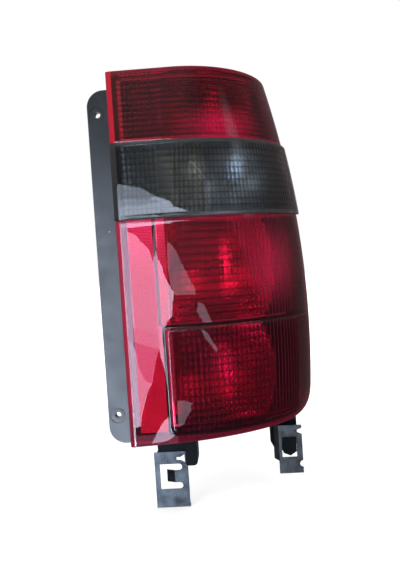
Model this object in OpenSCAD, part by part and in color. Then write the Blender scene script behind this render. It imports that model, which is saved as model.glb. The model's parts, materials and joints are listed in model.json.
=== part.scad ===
// Wrap-round tail light cluster for the rear corner of a van or estate car.
// X runs outboard (to the right), Y runs back into the vehicle, Z is up.
// The origin is midway between the two screw holes, on the front face of the flange.

/* [Lens outline] */
// Height of the top edge of the lens
lens_top_z = 182; // [165:1:200]
// Height of the seam between the dark red and the smoked lens
upper_seam_z = 114.5; // [100:0.5:125]
// Height of the seam between the smoked and the lower red lens
lower_seam_z = 42; // [32:0.5:52]
// Height of the bottom edge of the lens at its inboard end
lens_bottom_z = -174.5; // [-182:0.5:-168]
// Rise of the bottom edge towards the outboard side, in degrees
bottom_rise_deg = 2.3; // [0:0.1:4]
// Inboard side wall of the lens
lens_left_x = 12; // [10:0.5:16]
// Where the flat front starts to bend round the corner
bend_x = 61; // [58:1:70]
// Lean of the line where the bend starts, in degrees
bend_lean_deg = 3.8; // [0:0.1:5]
// Outboard side of the lens at hole height
side_x = 197; // [188:1:206]
// Lean of the outboard side, in degrees
side_lean_deg = 4.5; // [2:0.1:7]
// Radius of the gentle bulge of the outboard side, seen from the front
side_bulge_r = 950; // [700:10:1600]
// Depth over which the bend turns from the front to the side
bend_depth = 120.7; // [114:0.1:126]
// How far short of that depth the lens ends on the side
side_end_in = 16.7; // [12:0.1:22]
// Radius of the lower outboard corner, seen from the side
corner_r = 34; // [20:1:44]
// Depth at which that corner starts, and the depth it takes
corner_start_y = 35; // [28:1:45]
corner_run = 76; // [70:1:90]
// Width and depth of the soft bevel down the inboard edge
edge_bevel_w = 5; // [3:0.5:8]
edge_bevel_d = 3.2; // [2:0.1:5]
// Small bevel along the top and bottom edges
rim_bevel = 1.4; // [0.6:0.1:2]

/* [Lens moulding] */
// Wall of the lenses
lens_wall = 2.6; // [2:0.1:3.2]
// How far the smoked lens stands proud of the red ones
band_proud = 3; // [1.5:0.1:4]
// Rib along each seam, inside the smoked lens
seam_rib_h = 3; // [2:0.5:5]
// Depth of the optic flutes inside the bend
flute_depth = 0.8; // [0.3:0.1:1.2]
// How far the fog window stands proud
window_proud = 2; // [1:0.1:3]
// Inboard edge, top and bottom of the fog window
window_left_x = 52.4; // [49:0.1:54]
window_top_z = -62; // [-75:1:-50]
window_bottom_z = -162.4; // [-166:0.2:-150]
// Width of the sloping border of the fog window
window_slope = 2.4; // [1.5:0.1:4]

/* [Flange and housing] */
// Distance between the centres of the two screw holes
hole_spacing = 290; // [270:1:310]
// Diameter of the screw holes
hole_d = 6; // [5:0.1:7]
// Diameter and depth of the round recess at each hole
recess_d = 16; // [13:0.5:16]
recess_depth = 1; // [0.5:0.1:1.5]
// Diameter of the raised land inside that recess, round the hole
land_d = 12; // [10:0.5:12.5]
// Length of the sleeve behind each hole
boss_h = 6; // [3:0.5:9]
// Outside diameter of that sleeve
boss_d = 11; // [9:0.5:13]
// Reach of the flange inboard of the holes
flange_reach = 9.5; // [8:0.5:14]
// Flange above the upper hole and below the lower one
flange_over_top = 23; // [18:0.5:30]
flange_over_bottom = 27.6; // [20:0.5:30]
// Radius of the two inboard corners of the flange
flange_corner_r = 16; // [8:0.5:18]
// Thickness of the flange
flange_t = 3; // [2:0.1:4]
// Depth of the flange face behind the lens front
seat_y = 13; // [11:0.5:16]
// Wall of the housing
housing_wall = 2.5; // [2:0.1:3]
// How far short of the bend's depth the flat back of the housing lies
rear_in = 36.7; // [30:0.1:40]
// Inboard end of the flat back
back_left_x = 36; // [30:1:42]
// Diameter of the lamp holes in the flat back
lamp_hole_d = 28.5; // [28:0.5:30]

/* [Lamps] */
// Place of the lamp in the dark red lens
upper_x = 100; // [94:1:106]
upper_z = 146; // [142:1:150]
// Places of the two lamps in the smoked lens, and their shared height
turn_x = 78; // [74:1:82]
reverse_x = 120; // [114:1:122]
band_z = 78; // [75:1:81]
// Place of the stop lamp
stop_x = 102; // [94:1:108]
stop_z = -10; // [-20:1:0]
// Place of the fog lamp
fog_x = 92; // [86:1:98]
fog_z = -110; // [-114:1:-104]
// Glass diameter
glass_d = 26.5; // [22:0.5:27]
// Length of the glass in front of its cap
glass_l = 34; // [28:0.5:36]
// Wall of the glass
glass_t = 0.9; // [0.6:0.1:1.4]
// Diameter and length of the metal cap
cap_d = 15; // [14:0.1:15.5]
cap_l = 17; // [15:0.5:18]
// Diameter and height of the bayonet pins
pin_d = 2; // [1.6:0.1:2.2]
pin_h = 1; // [0.6:0.1:1.2]
// Play between a cap and its holder
cap_play = 0.2; // [0.15:0.05:0.4]
// Focal length of the reflector bowls
bowl_focus = 26; // [20:1:32]
// Wall of the reflectors
bowl_wall = 1.8; // [1.4:0.1:2.4]

/* [Lamp carrier] */
// Thickness of the carrier plate
carrier_t = 3; // [2:0.5:4]
// Inboard and outboard edges of the carrier plate
carrier_left_x = 54; // [50:1:58]
carrier_right_x = 142; // [140:1:143]
// Top and bottom edges of the carrier plate
carrier_top_z = 168; // [164:1:171]
carrier_bottom_z = -134; // [-140:1:-130]
// Corner radius of the carrier plate
carrier_corner_r = 10; // [4:1:14]
// Foam seal between the housing and the carrier
seal_t = 2.5; // [1.5:0.5:4]
seal_w = 6; // [4:0.5:8]
// Thickness and width of the brass tracks
track_t = 0.8; // [0.5:0.1:1.2]
track_w = 4.6; // [3:0.2:5]
// Connector shroud: width, height, depth and wall
plug_w = 58; // [54:1:64]
plug_h = 20; // [16:1:24]
plug_depth = 14; // [10:1:16]
plug_wall = 2; // [1.6:0.1:2.6]
// Length of the connector blades
blade_l = 9; // [6:0.5:10]
// Distance between neighbouring blades
blade_pitch = 8; // [7:0.5:9]

/* [Reflex strip] */
// Inboard and outboard edges of the reflex strip
reflex_left_x = 24; // [22:0.5:27]
reflex_right_x = 46.5; // [42:0.5:47.5]
// Top and bottom of the reflex strip
reflex_top_z = 31; // [20:1:36]
reflex_bottom_z = -157; // [-160:1:-140]
// Thickness of its plate and height of its prism ridges
reflex_t = 2; // [1.5:0.1:3]
prism_h = 1.2; // [0.8:0.1:2]
// Number of prism ridges
prism_count = 9; // [6:1:14]

/* [Spring clips] */
// Sheet thickness of both clips
sheet_t = 1; // [0.8:0.1:1.2]
// Left clip: edges, top and bottom
clip_left_x = 31; // [28:0.5:33]
clip_right_x = 64; // [62:0.5:68]
clip_top_z = -186; // [-190:0.5:-182]
clip_bottom_z = -241; // [-250:1:-234]
// Depth of the left clip's face behind the lens front
clip_y = 21; // [18:0.5:26]
// Right clip: edges, top and bottom
hook_left_x = 156; // [153:0.5:158]
hook_right_x = 180; // [176:0.5:184]
hook_top_z = -176; // [-178:0.5:-174]
hook_bottom_z = -226; // [-232:1:-220]
// Depth of the right clip's face behind the lens front
hook_y = 62; // [58:0.5:66]

/* [Hidden] */
$fn = 48;
eps = 0.01;

// Depths behind the lens front: the rear edge of the lens on the side, and the flat back of the housing
side_end_y = bend_depth - side_end_in;
rear_y = bend_depth - rear_in;

// Everything is drawn with the lens front at Y = 0 and moved forward at the end,
// so that the flange face lies at Y = 0 of the part.
module place() {
    translate([0, -seat_y, 0]) children();
}

// The lens surface. "out" is how far a surface lies outside the red lenses.
function bend_start(z) = bend_x + z * tan(bend_lean_deg);
function side_at(z) = side_x - z * tan(side_lean_deg) - z * z / (2 * side_bulge_r);
function reach(z) = side_at(z) - bend_start(z);
function angle_at(y, out) = acos((bend_depth - y) / (bend_depth + out));
function end_angle(out) = angle_at(side_end_y, out);
function turn_at(x, z, out) = x <= bend_start(z) ? 0 : asin((x - bend_start(z)) / (reach(z) + out));
function bend_point(a, z, out) = [
    bend_start(z) + (reach(z) + out) * sin(a),
    bend_depth - (bend_depth + out) * cos(a)
];
function face_y(x, z, out) = bend_point(turn_at(x, z, out), z, out)[1];
function end_x(z, out) = bend_point(end_angle(out), z, out)[0];
function mix(a, b, t) = a + (b - a) * t;

// A place along the lens from left to right: up to bend_from it is X in mm,
// and the rest of the way is 1 unit for each hundredth of the bend.
bend_from = 56;
bend_units = 100;
span_end = bend_from + bend_units;
function skin(s, z, out) = s <= bend_from
    ? [s, face_y(s, z, out)]
    : bend_point(mix(turn_at(bend_from, z, out), end_angle(out), (s - bend_from) / bend_units), z, out);
function on_skin(s, z, out) = let (p = skin(s, z, out)) [p[0], p[1], z];

// The bottom edge rises outboard and then rounds up into the side.
ref_rise = 8;
ref_z = lens_bottom_z + ref_rise;
function corner_rise(y) = let (k = max(0, min(0.98, (y - corner_start_y) / corner_run)))
    corner_r * (1 - sqrt(1 - k * k));
function bottom_at(s) = let (p = skin(max(s, lens_left_x), ref_z, 0))
    lens_bottom_z + (p[0] - lens_left_x) * tan(bottom_rise_deg) + corner_rise(p[1]);

// A solid between two paths of equally many points, carried up through rows.
// Each row is [front path, back path], both from left to right.
function backwards(list) = [for (i = [len(list) - 1 : -1 : 0]) list[i]];
module strip_loft(rows) {
    n = len(rows[0][0]);
    m = 2 * n;
    top = (len(rows) - 1) * m;
    points = [for (row = rows) for (p = concat(row[0], backwards(row[1]))) p];
    walls = [
        for (r = [0 : len(rows) - 2]) for (j = [0 : m - 1])
            let (a = r * m + j, b = r * m + (j + 1) % m, c = b + m, d = a + m)
                each [[a, d, c], [a, c, b]]
    ];
    floor_faces = [
        for (i = [0 : n - 2]) each [[i, i + 1, m - 1 - i], [i + 1, m - 2 - i, m - 1 - i]]
    ];
    roof_faces = [for (f = floor_faces) [top + f[2], top + f[1], top + f[0]]];
    polyhedron(points, concat(walls, floor_faces, roof_faces), convexity = 8);
}

// Places along the lens: the flat front, the edges of the fog window and the bend.
flute_count = 19;
bend_steps = 2 * flute_count;
front_places = [
    lens_left_x + edge_bevel_w + 2, (reflex_left_x + reflex_right_x) / 2,
    window_left_x - 3, window_left_x, window_left_x + window_slope
];
bend_places = [for (i = [0 : bend_steps]) bend_from + bend_units * i / bend_steps];
places = concat(front_places, bend_places);
window_last = bend_from + 0.93 * bend_units;

// Share of its proudness by which a lens steps out on the inboard side
side_share = 0.2;
// Middle of the inboard bevel, as shares of its width and depth
bevel_mid = [0.25, 0.35];
function lens_front(z_of, out_of) = let (
    z0 = z_of(lens_left_x), out0 = out_of(lens_left_x), left = lens_left_x - side_share * out0
) concat(
    [
        [left, seat_y, z0],
        [left, edge_bevel_d, z0],
        [left + bevel_mid[0] * edge_bevel_w, bevel_mid[1] * edge_bevel_d - out0, z0],
        [left + edge_bevel_w, -out0, z0]
    ],
    [for (s = places) on_skin(s, z_of(s), out_of(s))]
);
// Where the inside of the inboard wall turns to the face, and how far that corner is eased
skirt_turn = 0.8;
corner_ease = 0.5;
// The face "depth" behind the lens front. Fluted, it has a groove at every second place of the bend.
function lens_back(z_of, depth, fluted) = let (
    z0 = z_of(lens_left_x), left = lens_left_x + lens_wall, skirt = depth < seat_y ? 0 : 1
) concat(
    [
        [left, seat_y, z0],
        [left + skirt, mix(seat_y, depth, skirt_turn), z0],
        [left + corner_ease + skirt, depth, z0],
        [lens_left_x + edge_bevel_w, depth, z0]
    ],
    [
        for (i = [0 : len(places) - 1])
            let (
                s = places[i],
                in_bend = i > len(front_places) && i < len(places) - 1,
                groove = fluted && in_bend && i % 2 == 0 ? flute_depth : 0
            )
                on_skin(s, z_of(s), groove - depth)
    ]
);
// Rise from a thick wall to a thin one
draft = 0.5;
function level(z) = function (s) z;
function shell_row(z_of, out_of) = [lens_front(z_of, out_of), lens_back(z_of, lens_wall, true)];
function skirt_row(z_of, out_of) = [lens_front(z_of, out_of), lens_back(z_of, seat_y, false)];

module upper_lens() {
    steps = 4;
    plain = function (s) 0;
    bevelled = function (s) -rim_bevel;
    roof = lens_top_z - lens_wall;
    color([0.45, 0.03, 0.06]) place() strip_loft(concat(
        [for (i = [0 : steps]) shell_row(level(mix(upper_seam_z, roof - draft, i / steps)), plain)],
        [
            skirt_row(level(roof), plain),
            skirt_row(level(lens_top_z - rim_bevel), plain),
            skirt_row(level(lens_top_z), bevelled)
        ]
    ));
}

// The smoked lens stands proud, with a rib behind each of its two seams.
module middle_lens() {
    steps = 3;
    proud = function (s) band_proud;
    eased = function (s) band_proud - rim_bevel;
    low = lower_seam_z + seam_rib_h;
    high = upper_seam_z - seam_rib_h;
    rib = function (z, out) [lens_front(level(z), out), lens_back(level(z), lens_wall, false)];
    thin = function (z) [lens_front(level(z), proud), lens_back(level(z), lens_wall - band_proud, true)];
    color([0.16, 0.17, 0.18]) place() strip_loft(concat(
        [rib(lower_seam_z, eased), rib(lower_seam_z + rim_bevel, proud), rib(low, proud)],
        [for (i = [0 : steps]) thin(mix(low + draft, high - draft, i / steps))],
        [rib(high, proud), rib(upper_seam_z - rim_bevel, proud), rib(upper_seam_z, eased)]
    ));
}

// The red lens carries the raised fog window, whose border slopes on all four sides.
window_over_bottom = 8;
module lower_lens() {
    steps = 4;
    plain = function (s) 0;
    bevelled = function (s) -rim_bevel;
    raised = function (s) s > window_left_x + window_slope / 2 && s < window_last ? window_proud : 0;
    window_low = function (s) max(window_bottom_z, bottom_at(s) + window_over_bottom);
    window_foot = function (s) window_low(s) + window_slope;
    color([0.78, 0.02, 0.08]) place() strip_loft(concat(
        [
            skirt_row(function (s) bottom_at(s), bevelled),
            skirt_row(function (s) bottom_at(s) + rim_bevel, plain),
            skirt_row(function (s) bottom_at(s) + lens_wall, plain),
            shell_row(function (s) bottom_at(s) + lens_wall + draft, plain),
            shell_row(window_low, plain)
        ],
        [
            for (i = [0 : steps])
                shell_row(function (s) mix(window_foot(s), window_top_z - window_slope, i / steps), raised)
        ],
        [for (i = [0 : steps]) shell_row(level(mix(window_top_z, lower_seam_z, i / steps)), plain)]
    ));
}

// A plate of vertical prism ridges behind the flat part of the red lens.
module reflex_reflector() {
    pitch = (reflex_right_x - reflex_left_x) / prism_count;
    back = lens_wall + reflex_t;
    ridges = [
        for (i = [0 : prism_count - 1]) each [
            [reflex_right_x - (i + 0.5) * pitch, back + prism_h],
            [reflex_right_x - (i + 1) * pitch, back]
        ]
    ];
    front = [[reflex_left_x, lens_wall], [reflex_right_x, lens_wall], [reflex_right_x, back]];
    color([0.85, 0.05, 0.1]) place()
        translate([0, 0, reflex_bottom_z]) linear_extrude(reflex_top_z - reflex_bottom_z)
            polygon(concat(front, ridges));
}

// The housing in plan: a wall that runs from the inboard rim round the back to the outboard rim.
rim_w = 7;
back_right_in = 23;
lip_in = 16.5;
wall_lean = 2.6;
knee = 4;
function spread(corners, counts) = concat(
    [
        for (i = [0 : len(counts) - 1]) for (k = [0 : counts[i] - 1])
            mix(corners[i], corners[i + 1], k / counts[i])
    ],
    [corners[len(corners) - 1]]
);
path_count = len(places) + 6;
wall_counts = [2, 9, 2, path_count - 24, 8, 2];
function inner_wall(z) = let (back = rear_y - housing_wall) spread([
    [lens_left_x, seat_y],
    [lens_left_x + rim_w, seat_y],
    [back_left_x + wall_lean, back - knee],
    [back_left_x + wall_lean + knee, back],
    [side_at(z) - back_right_in, back],
    [side_at(z) - lip_in, side_end_y],
    [end_x(z, 0), side_end_y]
], wall_counts);
function outer_wall(z) = spread([
    [lens_left_x, seat_y + flange_t],
    [lens_left_x + rim_w - wall_lean, seat_y + flange_t],
    [back_left_x, rear_y - knee],
    [back_left_x + knee, rear_y],
    [side_at(z) - back_right_in - wall_lean / 2, rear_y],
    [side_at(z) - lip_in - wall_lean, side_end_y + flange_t],
    [end_x(z, 0), side_end_y + flange_t]
], wall_counts);
// The front edge of the roof and the floor follows the back of the lens skirt.
function skirt_line(z_of) = concat(
    [[lens_left_x, seat_y, z_of(lens_left_x)]],
    lens_back(z_of, seat_y, false),
    [[end_x(z_of(span_end), 0), side_end_y, z_of(span_end)]]
);
housing_places = concat([for (i = [0 : 4]) lens_left_x], places, [span_end]);
function lifted(z_of, at) = [
    for (i = [0 : path_count - 1]) let (z = z_of(housing_places[i]), p = at(z)[i]) [p[0], p[1], z]
];
function tub_row(z_of) = [
    lifted(z_of, function (z) inner_wall(z)), lifted(z_of, function (z) outer_wall(z))
];
function plate_row(z_of) = [skirt_line(z_of), lifted(z_of, function (z) outer_wall(z))];

module tub() {
    steps = 6;
    bottom = function (s) bottom_at(s);
    floor_top = function (s) bottom_at(s) + lens_wall;
    roof = lens_top_z - lens_wall;
    strip_loft(concat(
        [plate_row(bottom), plate_row(floor_top)],
        [for (i = [0 : steps]) tub_row(function (s) mix(floor_top(s) + draft, roof - draft, i / steps))],
        [plate_row(level(roof)), plate_row(level(lens_top_z))]
    ));
}

hole_zs = [hole_spacing / 2, -hole_spacing / 2];
module along_y(x, y, z) {
    translate([x, y, z]) rotate([-90, 0, 0]) children();
}
module flange_plate() {
    low = -hole_spacing / 2 - flange_over_bottom;
    high = hole_spacing / 2 + flange_over_top;
    r = flange_corner_r;
    right = lens_left_x + rim_w / 2;
    translate([0, seat_y, 0]) {
        translate([r - flange_reach, 0, low]) cube([right - r + flange_reach, flange_t, high - low]);
        translate([-flange_reach, 0, low + r]) cube([r + eps, flange_t, high - low - 2 * r]);
        for (z = [low + r, high - r]) along_y(r - flange_reach, 0, z) cylinder(r = r, h = flange_t);
    }
}

// Lamp places: [X, Z] of each bulb.
upper_at = [upper_x, upper_z];
turn_signal_at = [turn_x, band_z];
reverse_at = [reverse_x, band_z];
stop_at = [stop_x, stop_z];
fog_at = [fog_x, fog_z];
lamp_places = [upper_at, turn_signal_at, reverse_at, stop_at, fog_at];

carrier_front_y = rear_y + seal_t;
carrier_rear_y = carrier_front_y + carrier_t;
latch_w = 9;
latch_t = 2.6;
latch_gap = 0.3;
latch_nose = 1.6;
latch_head = 2.6;
latch_in = 16;
latch_xs = [carrier_left_x + latch_in, carrier_right_x - latch_in];

// A hooked arm on the housing that holds the edge of the carrier plate. "side" is 1 above, -1 below.
module latch(x, z, side) {
    arm_z = z + side * (latch_gap + latch_t / 2);
    head_z = z + side * (latch_gap + latch_t - latch_nose) / 2;
    head_h = latch_gap + latch_t + latch_nose;
    translate([x - latch_w / 2, rear_y - eps, arm_z - latch_t / 2]) {
        cube([latch_w, carrier_rear_y - rear_y + latch_head, latch_t]);
    }
    translate([x - latch_w / 2, carrier_rear_y, head_z - head_h / 2]) cube([latch_w, latch_head, head_h]);
}

// What the two metal clips hold on to, under the floor of the housing.
rail_left_x = 35;
rail_back_y = 45;
post_w = 12;
post_drop = 14;
post_bottom_z = clip_top_z - post_drop;
post_corner_r = 4;
post_in = 2;
lug_play = 0.3;
hook_post_drop = 29;
hook_post_bottom_z = hook_top_z - hook_post_drop;
hook_post_t = 10;
hook_wall = 11;
floor_in = 1.4;
// How far the post of the right clip reaches past the clip on the left and stays short of it on the right
hook_post_out = 8;
hook_post_in = 4;
// Width and height of its two lower corners
hook_left_cut = [5, 10];
hook_right_cut = [8, 8];
// Places along the lens of its top left corner, its shoulder and the top of that shoulder
hook_places = [for (share = [0.63, 0.72, 0.76]) bend_from + share * bend_units];
shoulder_in = 1.5;
shoulder_drop = 3;
// The lug is seated by this much, and its slanted foot has these heights from left to right
lug_root = 3;
lug_in = 2;
lug_foot = [6, 3, 0, 4];
lug_tip = 0.55;
module rails() {
    floor_z = bottom_at(lens_left_x) + floor_in;
    rail_y = clip_y + sheet_t;
    post_x = clip_right_x - post_in;
    post_y = clip_y - post_in;
    depth = rail_back_y - post_y;
    translate([rail_left_x, rail_y, clip_top_z]) {
        cube([clip_right_x - rail_left_x, rail_back_y - rail_y, floor_z - clip_top_z]);
    }
    // Post beside the left clip, with a rounded lower corner
    translate([post_x, post_y, post_bottom_z + post_corner_r]) {
        cube([post_w, depth, floor_z - post_bottom_z - post_corner_r]);
    }
    translate([post_x, post_y, post_bottom_z]) cube([post_w - post_corner_r, depth, post_corner_r + eps]);
    along_y(post_x + post_w - post_corner_r, post_y, post_bottom_z + post_corner_r) {
        cylinder(r = post_corner_r, h = depth);
    }
}
// Left, right, bottom and top of the window in the right clip, and how far it lies inside the plate
hook_window_in = [3, 6, 17, 12];
hook_window = [
    hook_left_x + hook_window_in[0], hook_right_x - hook_window_in[1],
    hook_bottom_z + hook_window_in[2], hook_top_z - hook_window_in[3]
];
module hook_post() {
    front = hook_y + sheet_t + hook_wall;
    left = hook_left_x - hook_post_out;
    right = hook_right_x - hook_post_in;
    low = hook_post_bottom_z;
    // The part of the post that meets the floor ends where the lens begins.
    shoulder_x = bend_point(angle_at(front, -seat_y), ref_z, -seat_y)[0] - shoulder_in;
    shoulder_z = bottom_at(hook_places[2]) - shoulder_drop;
    top_left = bottom_at(hook_places[0]) + floor_in;
    top_right = bottom_at(hook_places[1]) + floor_in;
    along_y(0, front, 0) linear_extrude(hook_post_t) polygon([
        [left, -top_left], [shoulder_x, -top_right], [shoulder_x, -shoulder_z], [right, -shoulder_z],
        [right, -low - hook_right_cut[1]], [right - hook_right_cut[0], -low],
        [left + hook_left_cut[0], -low], [left, -low - hook_left_cut[1]]
    ]);
    // Lug that the window of the clip snaps over, with its slanted lower edge
    lug_left = hook_window[0] + lug_play;
    lug_right = hook_window[1] - lug_play;
    lug_top = hook_window[3] - lug_play;
    lug_low = hook_window[2] + lug_in;
    along_y(0, hook_y + sheet_t - lug_root, 0) linear_extrude(hook_wall + lug_root + eps) polygon([
        [lug_left, -lug_top], [lug_right, -lug_top], [lug_right, -lug_low - lug_foot[3]],
        [mix(lug_left, lug_right, lug_tip), -lug_low - lug_foot[2]],
        [lug_left + 1, -lug_low - lug_foot[1]], [lug_left, -lug_low - lug_foot[0]]
    ]);
}

module housing() {
    color([0.12, 0.14, 0.16]) place() difference() {
        union() {
            tub();
            flange_plate();
            for (z = hole_zs) along_y(0, seat_y + flange_t - eps, z) cylinder(d = boss_d, h = boss_h + eps);
            for (x = latch_xs) {
                latch(x, carrier_top_z, 1);
                latch(x, carrier_bottom_z, -1);
            }
            rails();
            hook_post();
        }
        for (z = hole_zs) {
            along_y(0, seat_y - 1, z) cylinder(d = hole_d, h = flange_t + boss_h + 2);
            along_y(0, seat_y - 1, z) difference() {
                cylinder(d = recess_d, h = recess_depth + 1);
                cylinder(d = land_d, h = recess_depth + 2);
            }
        }
        for (p = lamp_places) {
            along_y(p[0], rear_y - housing_wall - 1, p[1]) cylinder(d = lamp_hole_d, h = housing_wall + 2);
        }
    }
}

// One reflector chamber between two shelves, with a bowl behind each lamp.
reflector_gap = 6;
reflector_back = rear_y - housing_wall;
bowl_hole_r = lamp_hole_d / 2;
bowl_seat_w = 4;
bowl_apex_y = reflector_back - bowl_wall;
bowl_rings = 8;
bowl_reach = 96;
function bowl_y(r) = bowl_apex_y - r * r / (4 * bowl_focus);
module bowl(p) {
    spacing = function (i) pow(i / bowl_rings, 1.2);
    inner = [
        for (i = [0 : bowl_rings]) let (r = mix(bowl_hole_r, bowl_reach, spacing(i))) [r, -bowl_y(r)]
    ];
    outer = [
        for (i = [bowl_rings : -1 : 0])
            let (r = mix(bowl_hole_r + bowl_seat_w, bowl_reach, spacing(i))) [r, -bowl_y(r) - bowl_wall]
    ];
    seat = [[bowl_hole_r + bowl_seat_w, -reflector_back], [bowl_hole_r, -reflector_back]];
    translate([p[0], 0, p[1]]) rotate([90, 0, 0]) rotate_extrude() polygon(concat(inner, outer, seat));
}
chamber_least = 3;
function chamber_front(x, low, high) = min(
    reflector_back - chamber_least, max(face_y(x, low, -reflector_gap), face_y(x, high, -reflector_gap))
);
chamber_right_in = 18;
function chamber_right(low, high) = min(side_at(low), side_at(high)) - chamber_right_in;
module chamber(left, left_back, right, low, high, lamps, split) {
    steps = 10;
    w = bowl_wall;
    front = [
        for (i = [0 : steps]) let (x = mix(left, right, i / steps)) [x, chamber_front(x, low, high)]
    ];
    region = concat(front, [[right, reflector_back], [left_back, reflector_back]]);
    intersection() {
        translate([0, 0, low]) linear_extrude(high - low) polygon(region);
        union() {
            for (p = lamps) {
                cell_left = p[0] < split ? left : split;
                cell_right = p[0] < split ? split : right;
                intersection() {
                    bowl(p);
                    translate([cell_left, 0, low]) cube([cell_right - cell_left, rear_y, high - low]);
                }
            }
            for (x = [right - w, split - w / 2]) {
                if (x < right) translate([x, 0, low]) cube([w, rear_y, high - low]);
            }
            translate([0, 0, low]) linear_extrude(high - low) polygon([
                front[0], front[0] + [w, 0], [left_back + w, reflector_back], [left_back, reflector_back]
            ]);
            for (z = [low, high - w]) translate([left, 0, z]) cube([right - left, rear_y, w]);
        }
    }
}
shelf_gap = 2;
// The inboard walls of the chambers: the two wide ones lean from the lens to the flat back
wide_in = 10;
wide_left = lens_left_x + wide_in;
wide_play = 1.4;
wide_back = back_left_x + wall_lean + knee + wide_play;
stop_in = 5;
stop_left = window_left_x + stop_in;
fog_in = 2;
fog_left = window_left_x + fog_in;
fog_right_share = 0.84;
fog_right_place = bend_from + fog_right_share * bend_units;
silver = [0.78, 0.79, 0.8];
module upper_reflector() {
    low = upper_seam_z + shelf_gap;
    high = lens_top_z - lens_wall - 1;
    right = chamber_right(low, high);
    color(silver) place() chamber(wide_left, wide_back, right, low, high, [upper_at], right + bowl_wall);
}
module middle_reflector() {
    low = lower_seam_z + shelf_gap;
    high = upper_seam_z - shelf_gap;
    right = chamber_right(low, high);
    split = (turn_signal_at[0] + reverse_at[0]) / 2;
    color(silver) place() chamber(wide_left, wide_back, right, low, high, [turn_signal_at, reverse_at], split);
}
module stop_reflector() {
    low = window_top_z + shelf_gap / 2;
    high = lower_seam_z - shelf_gap;
    right = chamber_right(low, high);
    color(silver) place() chamber(stop_left, stop_left, right, low, high, [stop_at], right + bowl_wall);
}
module fog_reflector() {
    low = max(window_bottom_z, bottom_at(fog_right_place) + lens_wall + shelf_gap);
    high = window_top_z - shelf_gap / 2;
    right = chamber_right(low, high);
    color(silver) place() chamber(fog_left, fog_left, right, low, high, [fog_at], right + bowl_wall);
}

// A rounded rectangle from the carrier's outline, drawn in X and -Z and raised along Y.
module carrier_outline(inset, y, t) {
    left = carrier_left_x + inset;
    right = carrier_right_x - inset;
    low = carrier_bottom_z + inset;
    high = carrier_top_z - inset;
    r = max(1, carrier_corner_r - inset);
    translate([left + r, y, low]) cube([right - left - 2 * r, t, high - low]);
    translate([left, y, low + r]) cube([right - left, t, high - low - 2 * r]);
    for (x = [left + r, right - r]) for (z = [low + r, high - r]) along_y(x, y, z) cylinder(r = r, h = t);
}
module carrier_seal() {
    color([0.1, 0.1, 0.1]) place() difference() {
        carrier_outline(0, rear_y, seal_t);
        carrier_outline(seal_w, rear_y - 1, seal_t + 2);
    }
}

// Places of the connector and of its six blades, one for each track.
plug_x = 98;
plug_z = -48;
blade_order = ["upper", "turn", "fog", "stop", "earth", "reverse"];
function blade_x(name) = plug_x + (search([name], blade_order)[0] - 2.5) * blade_pitch;
pad_r = 4.6;
holder_wall = 2;
holder_l = 11;
cap_front_y = carrier_rear_y - cap_l;

// A flat track on the back of the carrier, drawn through its corners in X and Z, and grown by "play".
module track_line(corners, play) {
    w = track_w + 2 * play;
    for (i = [0 : len(corners) - 2]) {
        a = corners[i];
        b = corners[i + 1];
        low = [min(a[0], b[0]) - w / 2, min(a[1], b[1]) - w / 2];
        high = [max(a[0], b[0]) + w / 2, max(a[1], b[1]) + w / 2];
        translate([low[0], carrier_rear_y, low[1]]) cube([high[0] - low[0], track_t + play, high[1] - low[1]]);
    }
}
module blade(name) {
    translate([blade_x(name) - track_w / 2, carrier_rear_y, plug_z - track_t / 2]) {
        cube([track_w, track_t + blade_l, track_t]);
    }
}
module pad(p) {
    along_y(p[0], carrier_rear_y, p[1]) cylinder(r = pad_r, h = track_t);
}
// Corners of each track, from its lamp to its blade.
upper_side_x = 61;
upper_turn_z = -26;
turn_turn_z = 8;
reverse_turn_z = -28;
upper_route = [upper_at, [upper_side_x, upper_at[1]], [upper_side_x, upper_turn_z],
    [blade_x("upper"), upper_turn_z], [blade_x("upper"), plug_z]];
turn_route = [turn_signal_at, [turn_signal_at[0], turn_turn_z], [blade_x("turn"), turn_turn_z],
    [blade_x("turn"), plug_z]];
reverse_route = [reverse_at, [reverse_at[0], reverse_turn_z], [blade_x("reverse"), reverse_turn_z],
    [blade_x("reverse"), plug_z]];
stop_route = [stop_at, [blade_x("stop"), stop_at[1]], [blade_x("stop"), plug_z]];
fog_route = [fog_at, [blade_x("fog"), fog_at[1]], [blade_x("fog"), plug_z]];
// The earth track runs between the bores and sends an arm to the edge of each.
earth_in = cap_d / 2 + cap_play + track_w / 2;
earth_aside = 1;
earth_x = (turn_x + reverse_x) / 2 + earth_aside;
earth_low_share = 0.44;
earth_low_x = mix(blade_x("earth"), blade_x("reverse"), earth_low_share);
earth_step_z = 24;
earth_turn_z = -21;
earth_route = [[earth_x, upper_at[1] - earth_in], [earth_x, earth_step_z], [earth_low_x, earth_step_z],
    [earth_low_x, earth_turn_z], [blade_x("earth"), earth_turn_z], [blade_x("earth"), fog_at[1]]];
earth_arms = [
    [[turn_signal_at[0] + earth_in, turn_signal_at[1]], [reverse_at[0] - earth_in, reverse_at[1]]],
    [[stop_at[0] + earth_in, stop_at[1]], [earth_low_x, stop_at[1]]],
    [[fog_at[0] + earth_in, fog_at[1]], [blade_x("earth"), fog_at[1]]]
];
module all_tracks(play) {
    for (r = [upper_route, turn_route, reverse_route, stop_route, fog_route, earth_route]) track_line(r, play);
}
brass = [0.8, 0.66, 0.35];
module feed_track(name, route) {
    color(brass) place() {
        track_line(route, 0);
        pad(route[0]);
        blade(name);
    }
}
module upper_track() feed_track("upper", upper_route);
module turn_track() feed_track("turn", turn_route);
module reverse_track() feed_track("reverse", reverse_route);
module stop_track() feed_track("stop", stop_route);
module fog_track() feed_track("fog", fog_route);
module earth_track() {
    color(brass) place() {
        track_line(earth_route, 0);
        for (arm = earth_arms) track_line(arm, 0);
        blade("earth");
    }
}

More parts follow.
